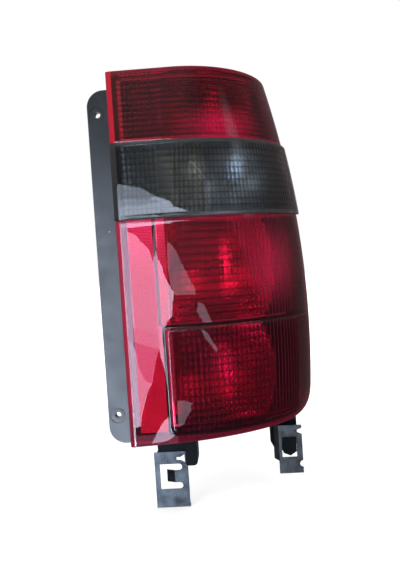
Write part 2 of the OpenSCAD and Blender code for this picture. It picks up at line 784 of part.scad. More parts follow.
module lamp_carrier() {
    holder_r = cap_d / 2 + cap_play;
    slot_w = pin_d + 2 * cap_play;
    track_play = 0.25;
    color([0.86, 0.86, 0.84]) place() difference() {
        union() {
            carrier_outline(0, carrier_front_y, carrier_t);
            for (p = lamp_places) {
                along_y(p[0], carrier_front_y - holder_l, p[1]) cylinder(r = holder_r + holder_wall, h = holder_l + eps);
            }
            difference() {
                translate([plug_x - plug_w / 2, carrier_rear_y - eps, plug_z - plug_h / 2]) {
                    cube([plug_w, plug_depth + eps, plug_h]);
                }
                translate([plug_x - plug_w / 2 + plug_wall, carrier_rear_y, plug_z - plug_h / 2 + plug_wall]) {
                    cube([plug_w - 2 * plug_wall, plug_depth + 1, plug_h - 2 * plug_wall]);
                }
                all_tracks(track_play);
            }
        }
        for (p = lamp_places) {
            along_y(p[0], carrier_front_y - holder_l - 1, p[1]) cylinder(r = holder_r, h = holder_l + carrier_t + 2);
            for (side = [-1, 1]) {
                translate([p[0] + side * holder_r - holder_wall, carrier_front_y - holder_l - 1, p[1] - slot_w / 2]) {
                    cube([2 * holder_wall, holder_l / 2 + 1, slot_w]);
                }
            }
        }
    }
}

// Bulb pieces: a metal cap with two pins, a glass with a neck, and the filament on its stem.
tip_r = 3;
tip_h = 0.5;
neck_r = 7.2;
stem_r = 2.4;
stem_h = 9;
wire_r = 0.4;
coil_r = 0.7;
coil_h = 8;
filament_h = glass_l - glass_d / 2 - 1;
module bulb_cap(p) {
    pin_y = carrier_front_y - holder_l + holder_l / 4;
    color([0.78, 0.72, 0.55]) place() {
        along_y(p[0], cap_front_y, p[1]) cylinder(d = cap_d, h = cap_l - tip_h);
        along_y(p[0], carrier_rear_y - tip_h - eps, p[1]) cylinder(r = tip_r, h = tip_h + eps);
        translate([p[0] - cap_d / 2 - pin_h, pin_y, p[1]]) rotate([0, 90, 0]) {
            cylinder(d = pin_d, h = cap_d + 2 * pin_h);
        }
    }
}
module glass_form(shrink) {
    ball_h = glass_l - glass_d / 2;
    cylinder(r = neck_r - shrink, h = ball_h);
    translate([0, 0, ball_h]) sphere(r = glass_d / 2 - shrink);
}
module bulb_glass(p, tint) {
    color(tint) place() translate([p[0], cap_front_y, p[1]]) rotate([90, 0, 0]) difference() {
        glass_form(0);
        glass_form(glass_t);
        translate([0, 0, -1]) cylinder(r = neck_r - glass_t, h = 2);
    }
}
module bulb_filament(p) {
    color([0.6, 0.6, 0.62]) place() translate([p[0], cap_front_y, p[1]]) rotate([90, 0, 0]) {
        cylinder(r = stem_r, h = stem_h);
        for (x = [-1, 1]) translate([x * coil_h / 2, 0, stem_h - 4]) {
            cylinder(r = wire_r, h = filament_h - stem_h + 4);
        }
        translate([-coil_h / 2, 0, stem_h - 2]) rotate([0, 90, 0]) cylinder(r = wire_r, h = coil_h);
        translate([-coil_h / 2 - wire_r, 0, filament_h]) rotate([0, 90, 0]) {
            cylinder(r = coil_r, h = coil_h + 2 * wire_r);
        }
    }
}
clear_glass = [0.9, 0.92, 0.92, 0.5];
amber_glass = [0.9, 0.5, 0.1, 0.6];
module upper_bulb_glass() bulb_glass(upper_at, clear_glass);
module upper_bulb_cap() bulb_cap(upper_at);
module upper_bulb_filament() bulb_filament(upper_at);
module turn_bulb_glass() bulb_glass(turn_signal_at, amber_glass);
module turn_bulb_cap() bulb_cap(turn_signal_at);
module turn_bulb_filament() bulb_filament(turn_signal_at);
module reverse_bulb_glass() bulb_glass(reverse_at, clear_glass);
module reverse_bulb_cap() bulb_cap(reverse_at);
module reverse_bulb_filament() bulb_filament(reverse_at);
module stop_bulb_glass() bulb_glass(stop_at, clear_glass);
module stop_bulb_cap() bulb_cap(stop_at);
module stop_bulb_filament() bulb_filament(stop_at);
module fog_bulb_glass() bulb_glass(fog_at, clear_glass);
module fog_bulb_cap() bulb_cap(fog_at);
module fog_bulb_filament() bulb_filament(fog_at);

// Foam strip behind the flange, between the two screw sleeves.
strip_x = 2;
strip_w = 7;
strip_t = 4;
strip_clear = 3;
module flange_seal() {
    clear = boss_d / 2 + strip_clear;
    color([0.1, 0.1, 0.1]) place() translate([strip_x, seat_y + flange_t, clear - hole_spacing / 2]) {
        cube([strip_w, strip_t, hole_spacing - 2 * clear]);
    }
}

// Left clip: a face plate with a C slot and a barbed tongue, folded back over the rail at its top.
slot_arm = 6.4;
tongue_h = 12;
slot_left_in = 5;
slot_right_in = 6;
slot_top_in = 12;
barb_l = 8;
barb_drop = 4;
ear_h = 10;
// The top fold is this much narrower at each end, and the ear behind the rail this much
fold_in = 3;
ear_in = 5;
foot_l = 7;
step_z = post_bottom_z - 1;
// Keyhole notch: its distances from the right edge, its half heights and its place below the top
notch_in = [11, 7, 3];
notch_half = [1.5, 4];
notch_drop = 7;
module left_clip() {
    slot_left = clip_left_x + slot_left_in;
    slot_right = clip_right_x - slot_right_in;
    slot_high = clip_top_z - slot_top_in;
    slot_low = slot_high - 2 * slot_arm - tongue_h;
    tongue_low = slot_low + slot_arm;
    fold_back = rail_back_y + lug_play + sheet_t;
    color([0.45, 0.49, 0.53]) place() {
        difference() {
            union() {
                translate([clip_left_x, clip_y, clip_bottom_z]) {
                    cube([clip_right_x - clip_left_x, sheet_t, clip_top_z - clip_bottom_z]);
                }
                // Return fold along the bottom edge
                translate([clip_left_x, clip_y, clip_bottom_z]) {
                    cube([clip_right_x - clip_left_x, foot_l, sheet_t]);
                }
            }
            // Room for the post
            translate([clip_right_x - post_in - lug_play, clip_y - 1, step_z]) {
                cube([post_w, sheet_t + 2, clip_top_z - step_z + 1]);
            }
            // The two round-ended arms of the C slot and its back
            for (z = [slot_low, slot_high - slot_arm]) {
                translate([slot_left, clip_y - 1, z]) {
                    cube([slot_right - slot_left - slot_arm / 2, sheet_t + 2, slot_arm]);
                }
                along_y(slot_right - slot_arm / 2, clip_y - 1, z + slot_arm / 2) {
                    cylinder(d = slot_arm, h = sheet_t + 2);
                }
            }
            translate([slot_left, clip_y - 1, slot_low]) {
                cube([slot_arm, sheet_t + 2, slot_high - slot_low]);
            }
            // Keyhole notch near the top right
            along_y(clip_right_x, clip_y - 1, clip_top_z - notch_drop) linear_extrude(sheet_t + 2) polygon([
                [-notch_in[0], -notch_half[0]], [-notch_in[1], -notch_half[0]], [-notch_in[2], -notch_half[1]],
                [-notch_in[2], notch_half[1]], [-notch_in[1], notch_half[0]], [-notch_in[0], notch_half[0]]
            ]);
            // The tongue ends where its barb bends back
            translate([slot_left, clip_y - 1, tongue_low - 1]) {
                cube([slot_arm + barb_l, sheet_t + 2, tongue_h + 2]);
            }
        }
        // Barb at the end of the tongue
        translate([0, 0, tongue_low]) linear_extrude(tongue_h) polygon([
            [slot_left + slot_arm + barb_l, clip_y], [slot_left + slot_arm + barb_l, clip_y + sheet_t],
            [slot_left + slot_arm, clip_y + barb_drop + sheet_t], [slot_left + slot_arm, clip_y + barb_drop]
        ]);
        // Top fold under the rail and ear behind it
        translate([clip_left_x + fold_in, clip_y, clip_top_z - sheet_t]) {
            cube([clip_right_x - clip_left_x - 2 * fold_in, fold_back - clip_y, sheet_t]);
        }
        translate([clip_left_x + ear_in, fold_back - sheet_t, clip_top_z - sheet_t]) {
            cube([clip_right_x - clip_left_x - 2 * ear_in, sheet_t, ear_h]);
        }
    }
}

// Right clip: a plate with a square window and a side wall that leans back to the post.
side_out = 5;
// The notch under the ear, from the plate's top right corner, and the round one above the foot
ear_notch = [[-1, 3], [8, 6], [1.5, 9], [-1, 10]];
foot_notch_z = 9.5;
foot_notch_r = 3.4;
side_cut_h = 14;
module right_clip() {
    plate = [
        [hook_right_x, hook_y], [hook_right_x, hook_y + sheet_t], [hook_left_x + sheet_t, hook_y + sheet_t],
        [hook_left_x - side_out + sheet_t, hook_y + sheet_t + hook_wall],
        [hook_left_x - side_out, hook_y + sheet_t + hook_wall], [hook_left_x, hook_y]
    ];
    w = hook_window;
    color([0.45, 0.49, 0.53]) place() difference() {
        translate([0, 0, hook_bottom_z]) linear_extrude(hook_top_z - hook_bottom_z) polygon(plate);
        translate([w[0], hook_y - 1, w[2]]) cube([w[1] - w[0], sheet_t + 2, w[3] - w[2]]);
        // Notch under the ear, and the small notch above the foot
        along_y(hook_right_x, hook_y - 1, hook_top_z) linear_extrude(sheet_t + 2) polygon([
            for (p = ear_notch) [-p[0], p[1]]
        ]);
        along_y(hook_right_x, hook_y - 1, hook_bottom_z + foot_notch_z) {
            cylinder(r = foot_notch_r, h = sheet_t + 2);
        }
        // Slanted lower end of the side wall
        translate([hook_left_x - side_out - 1, hook_y + sheet_t + 0.5, hook_bottom_z - 1]) {
            cube([side_out + sheet_t, hook_wall + 1, side_cut_h]);
        }
    }
}

housing();
upper_lens();
middle_lens();
lower_lens();
reflex_reflector();
upper_reflector();
middle_reflector();
stop_reflector();
fog_reflector();
lamp_carrier();
carrier_seal();
flange_seal();
upper_bulb_glass();
upper_bulb_cap();
upper_bulb_filament();
turn_bulb_glass();
turn_bulb_cap();
turn_bulb_filament();
reverse_bulb_glass();
reverse_bulb_cap();
reverse_bulb_filament();
stop_bulb_glass();
stop_bulb_cap();
stop_bulb_filament();
fog_bulb_glass();
fog_bulb_cap();
fog_bulb_filament();
earth_track();
upper_track();
turn_track();
reverse_track();
stop_track();
fog_track();
left_clip();
right_clip();
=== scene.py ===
"""Looks for the tail light cluster: lenses with their optics, reflex prisms, finishes and the stage."""
import json
import math

import bpy
import numpy as np
from mathutils import Matrix, Vector


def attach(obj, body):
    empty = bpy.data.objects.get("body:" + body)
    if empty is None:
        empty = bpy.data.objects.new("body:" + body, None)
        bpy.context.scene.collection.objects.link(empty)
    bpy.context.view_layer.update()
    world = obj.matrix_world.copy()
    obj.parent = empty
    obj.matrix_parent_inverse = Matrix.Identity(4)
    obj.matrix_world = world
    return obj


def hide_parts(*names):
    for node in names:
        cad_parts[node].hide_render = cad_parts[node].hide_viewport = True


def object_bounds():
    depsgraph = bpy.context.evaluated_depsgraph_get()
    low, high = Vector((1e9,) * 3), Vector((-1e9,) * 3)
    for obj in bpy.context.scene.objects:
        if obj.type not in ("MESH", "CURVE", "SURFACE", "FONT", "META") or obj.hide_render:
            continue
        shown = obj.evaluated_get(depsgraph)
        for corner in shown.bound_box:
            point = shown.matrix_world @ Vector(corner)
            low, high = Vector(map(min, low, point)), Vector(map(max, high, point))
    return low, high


bl_info = {
    "name": "Tail light cluster",
    "version": (1, 0, 0),
    "blender": (4, 5, 0),
    "location": "View3D > Sidebar > Tail light",
    "description": "Makes the lenses, optics, finishes and stage around the tail light's frame",
    "category": "Object",
}

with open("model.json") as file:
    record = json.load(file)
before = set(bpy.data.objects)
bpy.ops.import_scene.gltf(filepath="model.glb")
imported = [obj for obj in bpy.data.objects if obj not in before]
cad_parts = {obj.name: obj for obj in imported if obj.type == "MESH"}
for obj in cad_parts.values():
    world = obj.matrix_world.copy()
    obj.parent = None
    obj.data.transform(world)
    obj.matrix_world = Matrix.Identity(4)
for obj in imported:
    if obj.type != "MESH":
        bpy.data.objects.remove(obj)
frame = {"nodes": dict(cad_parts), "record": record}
CAD_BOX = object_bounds()
MM = 0.001

# Outline of the lenses in mm, as in the part's source: X outboard, depth behind the lens front, Z up
SEAT = 13.0
LEFT_X = 12.0
TOP_Z = 182.0
UPPER_SEAM = 114.5
LOWER_SEAM = 42.0
BOTTOM_Z = -174.5
BOTTOM_RISE = math.tan(math.radians(2.3))
BEND_X = 61.0
BEND_LEAN = math.tan(math.radians(3.8))
SIDE_X = 197.0
SIDE_LEAN = math.tan(math.radians(4.5))
SIDE_BULGE = 950.0
BEND_DEPTH = 120.7
SIDE_END = 104.0
CORNER_R = 34.0
CORNER_START = 35.0
CORNER_RUN = 76.0
BEVEL_W = 5.0
BEVEL_D = 3.2
RIM = 1.4
BAND_PROUD = 3.0
BEND_FROM = 56.0
BEND_SPAN = 100.0
BEND_ARC = 174.0
REF_Z = BOTTOM_Z + 8
SEAM_GAP = 0.06
SEAM_R = 0.6
BAND_R = 1.6
BAND_RIB = 3.0
# The raised window of the lower lens: borders, slope, corners, and where the painted shade of the frame beside it
# begins and ends
WINDOW_LEFT = 52.4
WINDOW_TOP = -62.0
WINDOW_BOTTOM = -162.4
WINDOW_LAST = 149.0
WINDOW_FOOT = 8.0
WINDOW_SLOPE = 2.4
WINDOW_PROUD = 2.0
WINDOW_R_LEFT = 4.0
WINDOW_R_RIGHT = 10.0
WINDOW_CORNER = 11.0
FRAME_OUT = -3.4
FRAME_IN = 0.9


def bend_start(z):
    return BEND_X + z * BEND_LEAN


def side_at(z):
    return SIDE_X - z * SIDE_LEAN - z * z / (2 * SIDE_BULGE)


def end_angle(out):
    return np.arccos((BEND_DEPTH - SIDE_END) / (BEND_DEPTH + out))


def skin(s, z, out):
    """X and depth of the lens surface at place s (mm up to BEND_FROM, then hundredths of the bend)."""
    start = bend_start(z)
    reach = side_at(z) - start + out
    x_flat = np.minimum(s, BEND_FROM)
    first = np.arcsin(np.clip((x_flat - start) / reach, 0, 1))
    t = np.clip((s - BEND_FROM) / BEND_SPAN, 0, 1)
    angle = first + (end_angle(out) - first) * t
    x = np.where(angle > 0, start + reach * np.sin(angle), x_flat)
    depth = BEND_DEPTH - (BEND_DEPTH + out) * np.cos(angle)
    return x, depth


def corner_rise(depth):
    turned = np.clip((depth - CORNER_START) / CORNER_RUN, 0, 0.98)
    return CORNER_R * (1 - np.sqrt(1 - turned * turned))


def bottom_at(s):
    x, depth = skin(np.maximum(s, LEFT_X), REF_Z, 0.0)
    return BOTTOM_Z + (x - LEFT_X) * BOTTOM_RISE + corner_rise(depth)


# Columns along a lens: the inboard wall, its soft bevel, the flat front and the bend
WALL_STEPS = [0.0, 0.5, 1.0]
BEVEL_STEPS = [0.2, 0.4, 0.6, 0.8, 1.0]
LEFT_COUNT = len(WALL_STEPS) + len(BEVEL_STEPS)
FLAT_COLUMNS = 40
PER_CELL = 5
# How milky the rows of an edge, of the strip under the window and of the window are; the milky rim's colour is partly
# painted light
RIM_SHARES = {"edge": 0.6, "foot": 0.4, "window": 0.0}


def columns(cell_w):
    """Places s of all front columns, and how many cells each lies from the start of the bend."""
    flat_from = LEFT_X + BEVEL_W
    flat = np.linspace(flat_from, BEND_FROM, FLAT_COLUMNS + 1)[1:-1]
    count = int(round(BEND_ARC / cell_w * PER_CELL))
    bend = BEND_FROM + BEND_SPAN * np.arange(count + 1) / count
    s = np.concatenate([flat, bend])
    cells = np.concatenate([(flat - BEND_FROM) / cell_w, np.arange(count + 1) / PER_CELL])
    return s, cells


def left_outer(out):
    """Points (x, depth) of the inboard wall and its bevel on the outside, one for each of their columns."""
    left = LEFT_X - 0.2 * out
    pts = [(left, SEAT + (BEVEL_D - SEAT) * t) for t in WALL_STEPS]
    p0, p1, p2 = (left, BEVEL_D), (left, BEVEL_D * 0.2 - out), (LEFT_X + BEVEL_W, -out)
    for t in BEVEL_STEPS:
        a, b, c = (1 - t) ** 2, 2 * t * (1 - t), t * t
        pts.append(tuple(a * i + b * j + c * k for i, j, k in zip(p0, p1, p2)))
    return pts


def left_inner(depth, wall):
    """The same on the inside."""
    skirt = 1.0 if depth >= SEAT else 0.0
    left = LEFT_X + wall
    turn = SEAT + (depth - SEAT) * 0.8
    pts = [(left, SEAT), (left + skirt / 2, (SEAT + turn) / 2), (left + skirt, turn)]
    corner, end = (left + 0.5 + skirt, depth), (LEFT_X + BEVEL_W, depth)
    for t in BEVEL_STEPS:
        if t < 0.5:
            k = t / 0.5
            pts.append((pts[2][0] + (corner[0] - pts[2][0]) * k, turn + (depth - turn) * k))
        else:
            k = (t - 0.5) / 0.5
            pts.append((corner[0] + (end[0] - corner[0]) * k, depth))
    return pts


def shell_mesh(name, s, cells, outer, inner, wall):
    """A closed lens shell. outer and inner list rows from below to above, each (z of s, out of s and z, info).

    The info is a key of RIM_SHARES, a dict with the row's place in the optics and their weights, or None.
    """
    n = LEFT_COUNT + len(s)
    rows, data = [], []
    for side, chain in (("outer", outer), ("inner", inner[::-1])):
        for z_of, out_of, info in chain:
            z_front = z_of(s)
            z_left = float(z_of(np.array([LEFT_X]))[0])
            out_front = out_of(s, z_front)
            out_left = float(out_of(np.array([LEFT_X]), np.array([z_left]))[0])
            x, depth = skin(s, z_front, out_front)
            pts = left_outer(out_left) if side == "outer" else left_inner(-out_left, wall)
            left_x, left_depth = np.array(pts).T
            rows.append(np.stack([
                np.concatenate([left_x, x]), np.concatenate([left_depth, depth]) - SEAT,
                np.concatenate([np.full(LEFT_COUNT, z_left), z_front]),
            ], axis=1))
            data.append((info, z_front))
    pts = np.concatenate(rows) * MM
    m = len(rows)
    faces = []
    for r in range(m):
        a, b = r * n, ((r + 1) % m) * n
        for j in range(n - 1):
            faces.append((a + j, a + j + 1, b + j + 1, b + j))
    faces.append(tuple(r * n for r in range(m)))
    faces.append(tuple(r * n + n - 1 for r in reversed(range(m))))
    obj = add_mesh(name, pts.tolist(), faces)
    # Where the optics lie: cells across, cells up and how strong they are each way. The rim is milky and partly
    # painted light, the frame painted shade.
    marks = {key: np.zeros(len(pts)) for key in ("across", "up", "strong_u", "strong_v", "rim", "frame")}
    inward = np.zeros((len(pts), 3))
    for r, (info, z_front) in enumerate(data):
        marks["rim"][r * n:r * n + LEFT_COUNT] = 1.0
        front = slice(r * n + LEFT_COUNT, (r + 1) * n)
        if isinstance(info, str):
            marks["rim"][front] = RIM_SHARES[info]
            if info != "edge":
                # Painted shade on the window's frame
                marks["frame"][front] = frame_shade(s, z_front)
        elif info:
            marks["across"][front] = cells
            marks["up"][front] = info["row"]
            marks["strong_u"][front], marks["strong_v"][front] = info["weights"](s, z_front)
            x0, d0 = skin(s, z_front, np.full(len(s), -wall))
            x1, d1 = skin(s, z_front, np.full(len(s), -wall - 1.0))
            v = np.stack([x1 - x0, d1 - d0, np.zeros(len(s))], axis=1)
            inward[front] = v / np.linalg.norm(v, axis=1)[:, None]
    for key, values in marks.items():
        attribute = obj.data.attributes.new(key, "FLOAT", "POINT")
        attribute.data.foreach_set("value", values.astype(np.float32))
    attribute = obj.data.attributes.new("inward", "FLOAT_VECTOR", "POINT")
    attribute.data.foreach_set("vector", inward.astype(np.float32).ravel())
    obj.data.update()
    return obj


class Tree:
    """A small helper that adds nodes to a node tree and links them."""

    def __init__(self, tree):
        self.tree = tree

    def feed(self, node, inputs):
        """Sets inputs of the node: sockets are linked, other values become defaults."""
        for key, value in inputs.items():
            if isinstance(value, bpy.types.NodeSocket):
                self.tree.links.new(value, node.inputs[key])
            else:
                node.inputs[key].default_value = value

    def add(self, kind, inputs=None, **props):
        node = self.tree.nodes.new(kind)
        for key, value in props.items():
            setattr(node, key, value)
        self.feed(node, inputs or {})
        return node

    def math(self, operation, a, b=0.0, clamp=False):
        return self.add("ShaderNodeMath", {0: a, 1: b}, operation=operation, use_clamp=clamp).outputs[0]

    def plus(self, a, b):
        return self.math("ADD", a, b)

    def minus(self, a, b, clamp=False):
        return self.math("SUBTRACT", a, b, clamp)

    def times(self, a, b, clamp=False):
        return self.math("MULTIPLY", a, b, clamp)

    def over(self, a, b):
        return self.math("DIVIDE", a, b)

    def to_border(self, cells):
        """How far a place lies from the middle of its cell: 0 in the middle, 1 on the border."""
        return self.math("ABSOLUTE", self.minus(self.times(self.math("FRACT", cells), 2.0), 1.0))

    def ramp(self, value, low, high, out_low=0.0, out_high=1.0):
        inputs = {"Value": value, "From Min": low, "From Max": high, "To Min": out_low, "To Max": out_high}
        return self.add("ShaderNodeMapRange", inputs).outputs["Result"]

    def between(self, value, low, high, soft):
        """1 where the value lies between low and high, with edges softened over the given width."""
        rise = self.ramp(value, low - soft, low + soft)
        return self.times(rise, self.ramp(value, high - soft, high + soft, 1.0, 0.0))

    def mix(self, amount, a, b):
        return self.add("ShaderNodeMix", {0: amount, 6: a, 7: b}, data_type="RGBA").outputs[2]

    def place(self):
        return self.add("ShaderNodeTexCoord").outputs["Object"]

    def xyz(self, vector):
        return self.add("ShaderNodeSeparateXYZ", {0: vector}).outputs

    def noise(self, scale, detail=3.0, stretch=None):
        place = self.place()
        if stretch:
            place = self.add("ShaderNodeMapping", {"Vector": place, "Scale": stretch}).outputs[0]
        return self.add("ShaderNodeTexNoise", {"Vector": place, "Scale": scale, "Detail": detail}).outputs["Fac"]

    def bump(self, height, strength, distance):
        node = self.add("ShaderNodeBump", {"Height": height, "Strength": strength, "Distance": distance})
        return node.outputs["Normal"]


def rgba(colour, share=1.0, lift=0.0):
    """The colour with its share taken and a grey lift added, as four values."""
    return tuple(c * share + lift for c in colour[:3]) + (1.0,)


def add_object(name, data):
    obj = bpy.data.objects.new(name, data)
    bpy.context.scene.collection.objects.link(obj)
    return obj


def add_mesh(name, verts, faces):
    mesh = bpy.data.meshes.new(name)
    mesh.from_pydata(verts, [], faces)
    return add_object(name, mesh)


def new_geometry_tree(name, inputs):
    """A geometry tree with a Geometry input and output and the named size inputs."""
    tree = bpy.data.node_groups.new(name, "GeometryNodeTree")
    for way in ("OUTPUT", "INPUT"):
        tree.interface.new_socket(name="Geometry", in_out=way, socket_type="NodeSocketGeometry")
    for key, kind, value in inputs:
        socket = tree.interface.new_socket(name=key, in_out="INPUT", socket_type=kind)
        if value is not None:
            socket.default_value = value
    return tree


def bake_tree(obj, tree, values):
    """Puts the tree on the object, sets its inputs by identifier and turns the result into a plain mesh."""
    modifier = obj.modifiers.new("Optics", "NODES")
    modifier.node_group = tree
    for item in tree.interface.items_tree:
        if item.item_type == "SOCKET" and item.in_out == "INPUT" and item.name in values:
            modifier[item.identifier] = values[item.name]
    graph = bpy.context.evaluated_depsgraph_get()
    graph.update()
    mesh = bpy.data.meshes.new_from_object(obj.evaluated_get(graph), depsgraph=graph)
    mesh.name = obj.name
    obj.modifiers.remove(modifier)
    obj.data = mesh


def close_tree(t, geometry, material):
    realized = t.add("GeometryNodeRealizeInstances", {"Geometry": geometry})
    painted = t.add("GeometryNodeSetMaterial", {"Geometry": realized.outputs["Geometry"], "Material": material})
    t.add("NodeGroupOutput", {"Geometry": painted.outputs["Geometry"]})


def optics_tree():
    """Moves the inner face of a lens in by a small pillow in each cell."""
    tree = new_geometry_tree("Pillow optics", [
        ("Pillow depth", "NodeSocketFloat", 0.0006),
        ("Flute depth", "NodeSocketFloat", 0.0006),
        ("Material", "NodeSocketMaterial", None),
    ])
    t = Tree(tree)
    source = t.add("NodeGroupInput")

    def attribute(name, kind="FLOAT"):
        return t.add("GeometryNodeInputNamedAttribute", {"Name": name}, data_type=kind).outputs["Attribute"]

    def pillow(cells):
        part = t.to_border(cells)
        return t.minus(1.0, t.times(part, part))

    across = t.times(pillow(attribute("across")), attribute("strong_u"))
    up = t.times(pillow(attribute("up")), attribute("strong_v"))
    height = t.plus(t.times(across, source.outputs["Flute depth"]), t.times(up, source.outputs["Pillow depth"]))
    inward = attribute("inward", "FLOAT_VECTOR")
    offset = t.add("ShaderNodeVectorMath", {0: inward, "Scale": height}, operation="SCALE").outputs[0]
    moved = t.add("GeometryNodeSetPosition", {"Geometry": source.outputs["Geometry"], "Offset": offset})
    close_tree(t, moved.outputs["Geometry"], source.outputs["Material"])
    return tree


def shade(obj, angle):
    for p in obj.data.polygons:
        p.use_smooth = True
    obj.data.set_sharp_from_angle(angle=math.radians(angle))


# ---- materials
def new_material(name):
    material = bpy.data.materials.new(name)
    material.use_nodes = True
    t = Tree(material.node_tree)
    bsdf = material.node_tree.nodes["Principled BSDF"]
    return material, t, bsdf


# Painted shade on the borders of the pillows, and the stretch in x over which it changes to the look's own share
LENS_IOR = 1.49
BORDER_GAIN = 1.5
ROW_POWER = 1.9
COLUMN_POWER = 2.2
BORDER_SHARE = 0.96
BORDERS_CHANGE = (0.1, 0.13)
# Part of a glow spot's radius that has its full painted glow, soft edge of a stripe, and the ridges low on the rim
SPOT_CORE = 0.25
STRIPE_SOFT = 0.0004
RIDGE_PITCH = 0.0021
RIDGES_FADE = (-0.13, -0.15)


def lens_material(name, tint, look):
    """Tinted clear plastic: clouding, fine marks, painted shade on the borders round the pillows and on the window's
    frame, and milky welded edges whose colour is partly painted light.

    The look holds the painted glow in front of the lamps, a brighter tint (bright), with the places and haze of those
    glow spots, the tint of the inboard side, the colour of the rim and the stripes of pillows that a chamber wall
    backs.
    """
    material, t, bsdf = new_material(name)

    def attribute(key):
        return t.add("ShaderNodeAttribute", attribute_name=key).outputs["Fac"]

    def borders(cells, strong, power):
        return t.times(t.math("POWER", t.to_border(cells), power), strong)

    x, _, z = t.xyz(t.place())
    strong_u, strong_v, rim, frame_painted_shade = (attribute(key) for key in ("strong_u", "strong_v", "rim", "frame"))
    # Painted shade on the borders between the pillows, standing in for how their refraction darkens the lens there
    rows = borders(attribute("up"), t.times(strong_v, BORDER_GAIN, clamp=True), ROW_POWER)
    strong_u = t.times(strong_u, BORDER_GAIN, clamp=True)
    dark = t.math("MAXIMUM", borders(attribute("across"), strong_u, COLUMN_POWER), rows)
    inside = t.math("MAXIMUM", strong_u, strong_v, clamp=True)
    colour = t.mix(t.ramp(t.noise(18.0, 4.0), 0.35, 0.7), rgba(tint), rgba(tint, 0.86))
    haze = 0.0
    # Painted glow: spots of brighter tint where the lamps would shine through, with haze there so that the lamps
    # light the plastic
    for spot_x, spot_z, radius_x, radius_z, share in look["spots"]:
        far_x = t.over(t.minus(x, spot_x * MM), radius_x * MM)
        far_z = t.over(t.minus(z, spot_z * MM), radius_z * MM)
        far = t.math("SQRT", t.plus(t.times(far_x, far_x), t.times(far_z, far_z)))
        near = t.ramp(far, 1.0, SPOT_CORE)
        haze = t.math("MAXIMUM", haze, t.times(near, share))
        colour = t.mix(near, colour, rgba(look["bright"]))
    tint_in, x_out, x_in = look["inboard"]
    colour = t.mix(t.ramp(x, x_out * MM, x_in * MM), colour, rgba(tint_in))
    share = t.ramp(x, *BORDERS_CHANGE, BORDER_SHARE, look["far_borders"])
    # The painted shade of the pillow borders darkens the colour
    colour = t.mix(t.times(dark, share), colour, rgba(tint, 0.05))
    solid = rim
    for left, right, low, high, share in look["stripes"]:
        wide = t.between(x, left * MM, right * MM, STRIPE_SOFT)
        tall = t.between(z, low * MM, high * MM, STRIPE_SOFT)
        part = t.to_border(t.over(t.minus(z, look["rows_from"] * MM), look["rows_pitch"] * MM))
        pillows = t.minus(1.0, t.times(t.math("POWER", part, 2.5), 0.75))
        on = t.times(t.times(t.times(wide, tall), pillows), share)
        colour = t.mix(on, colour, rgba(look["rim"]))
        solid = t.math("MAXIMUM", solid, on)
    ridge = t.times(t.to_border(t.over(x, RIDGE_PITCH)), t.ramp(z, *RIDGES_FADE))
    edge = t.mix(t.times(ridge, 0.8), rgba(look["rim"]), rgba(look["rim"], 0.2))
    # The milky rim, partly painted light: its bright colour stands in for light led in through the wall from the side
    colour = t.mix(rim, colour, edge)
    # No haze on the frame; its painted shade darkens the base colour below
    haze = t.times(haze, t.minus(1.0, frame_painted_shade, clamp=True))
    haze = t.times(haze, t.plus(t.times(inside, 0.5), 0.45))
    marks = t.ramp(t.noise(900.0, 2.0, (1.0, 1.0, 0.3)), 0.55, 0.8, 0.0, 0.02)
    t.feed(bsdf, {
        "Base Color": t.mix(frame_painted_shade, colour, rgba(tint, 0.2, 0.01)),
        "Transmission Weight": t.minus(t.ramp(solid, 0.0, 1.0, 1.0, 0.45), haze),
        "IOR": LENS_IOR,
        "Roughness": t.plus(marks, t.times(inside, look["satin"])),
        "Normal": t.bump(t.noise(35.0, 1.0), 0.02, 0.002),
    })
    return material


def plastic_material(name, base, worn, rough, speck=None, speck_share=0.0, grain=2500.0, grain_depth=0.00003,
                     dull=None):
    """Moulded plastic: slow colour drift, fine grain, and light dust specks and a foot without gloss where asked; the
    dull foot is painted shade, kept dark as if it mirrored dark ground.
    """
    material, t, bsdf = new_material(name)
    colour = t.mix(t.ramp(t.noise(12.0, 5.0), 0.35, 0.7), rgba(base), rgba(worn))
    if speck:
        dots = t.add("ShaderNodeTexVoronoi", {"Vector": t.place(), "Scale": 260.0})
        pick = t.add("ShaderNodeSeparateColor", {0: dots.outputs["Color"]}).outputs[0]
        chosen = t.math("LESS_THAN", pick, speck_share)
        near = t.math("LESS_THAN", dots.outputs["Distance"], 0.16)
        colour = t.mix(t.times(chosen, near), colour, rgba(speck))
    if dull:
        # Painted shade: the foot loses its gloss, so that it stays dark as if it mirrored the dark ground
        dull_x, dull_z = dull
        x, _, z = t.xyz(t.place())
        share = t.times(t.ramp(x, dull_x, dull_x + 0.005), t.ramp(z, dull_z + 0.004, dull_z))
        t.feed(bsdf, {"Specular IOR Level": t.ramp(share, 0.0, 1.0, 0.5, 0.04)})
    t.feed(bsdf, {
        "Base Color": colour,
        "Roughness": t.ramp(t.noise(60.0, 4.0), 0.3, 0.7, rough - 0.05, rough + 0.08),
        "Normal": t.bump(t.noise(grain, 2.0), 0.35, grain_depth),
    })
    return material


def metal_material(name, base, dull, rough, scale=70.0, speck=None):
    """Plated sheet or turned metal: cloudy plating, fine rolling lines and small bright or dark marks."""
    material, t, bsdf = new_material(name)
    colour = t.mix(t.ramp(t.noise(scale, 6.0), 0.3, 0.72), rgba(base), rgba(dull))
    if speck:
        colour = t.mix(t.ramp(t.noise(900.0, 2.0), 0.66, 0.7), colour, rgba(speck))
    lines = t.noise(500.0, 3.0, (1.0, 1.0, 6.0))
    t.feed(bsdf, {
        "Base Color": colour,
        "Metallic": 1.0,
        "Roughness": t.ramp(lines, 0.3, 0.7, rough - 0.06, rough + 0.1),
        "Normal": t.bump(lines, 0.2, 0.00004),
    })
    return material


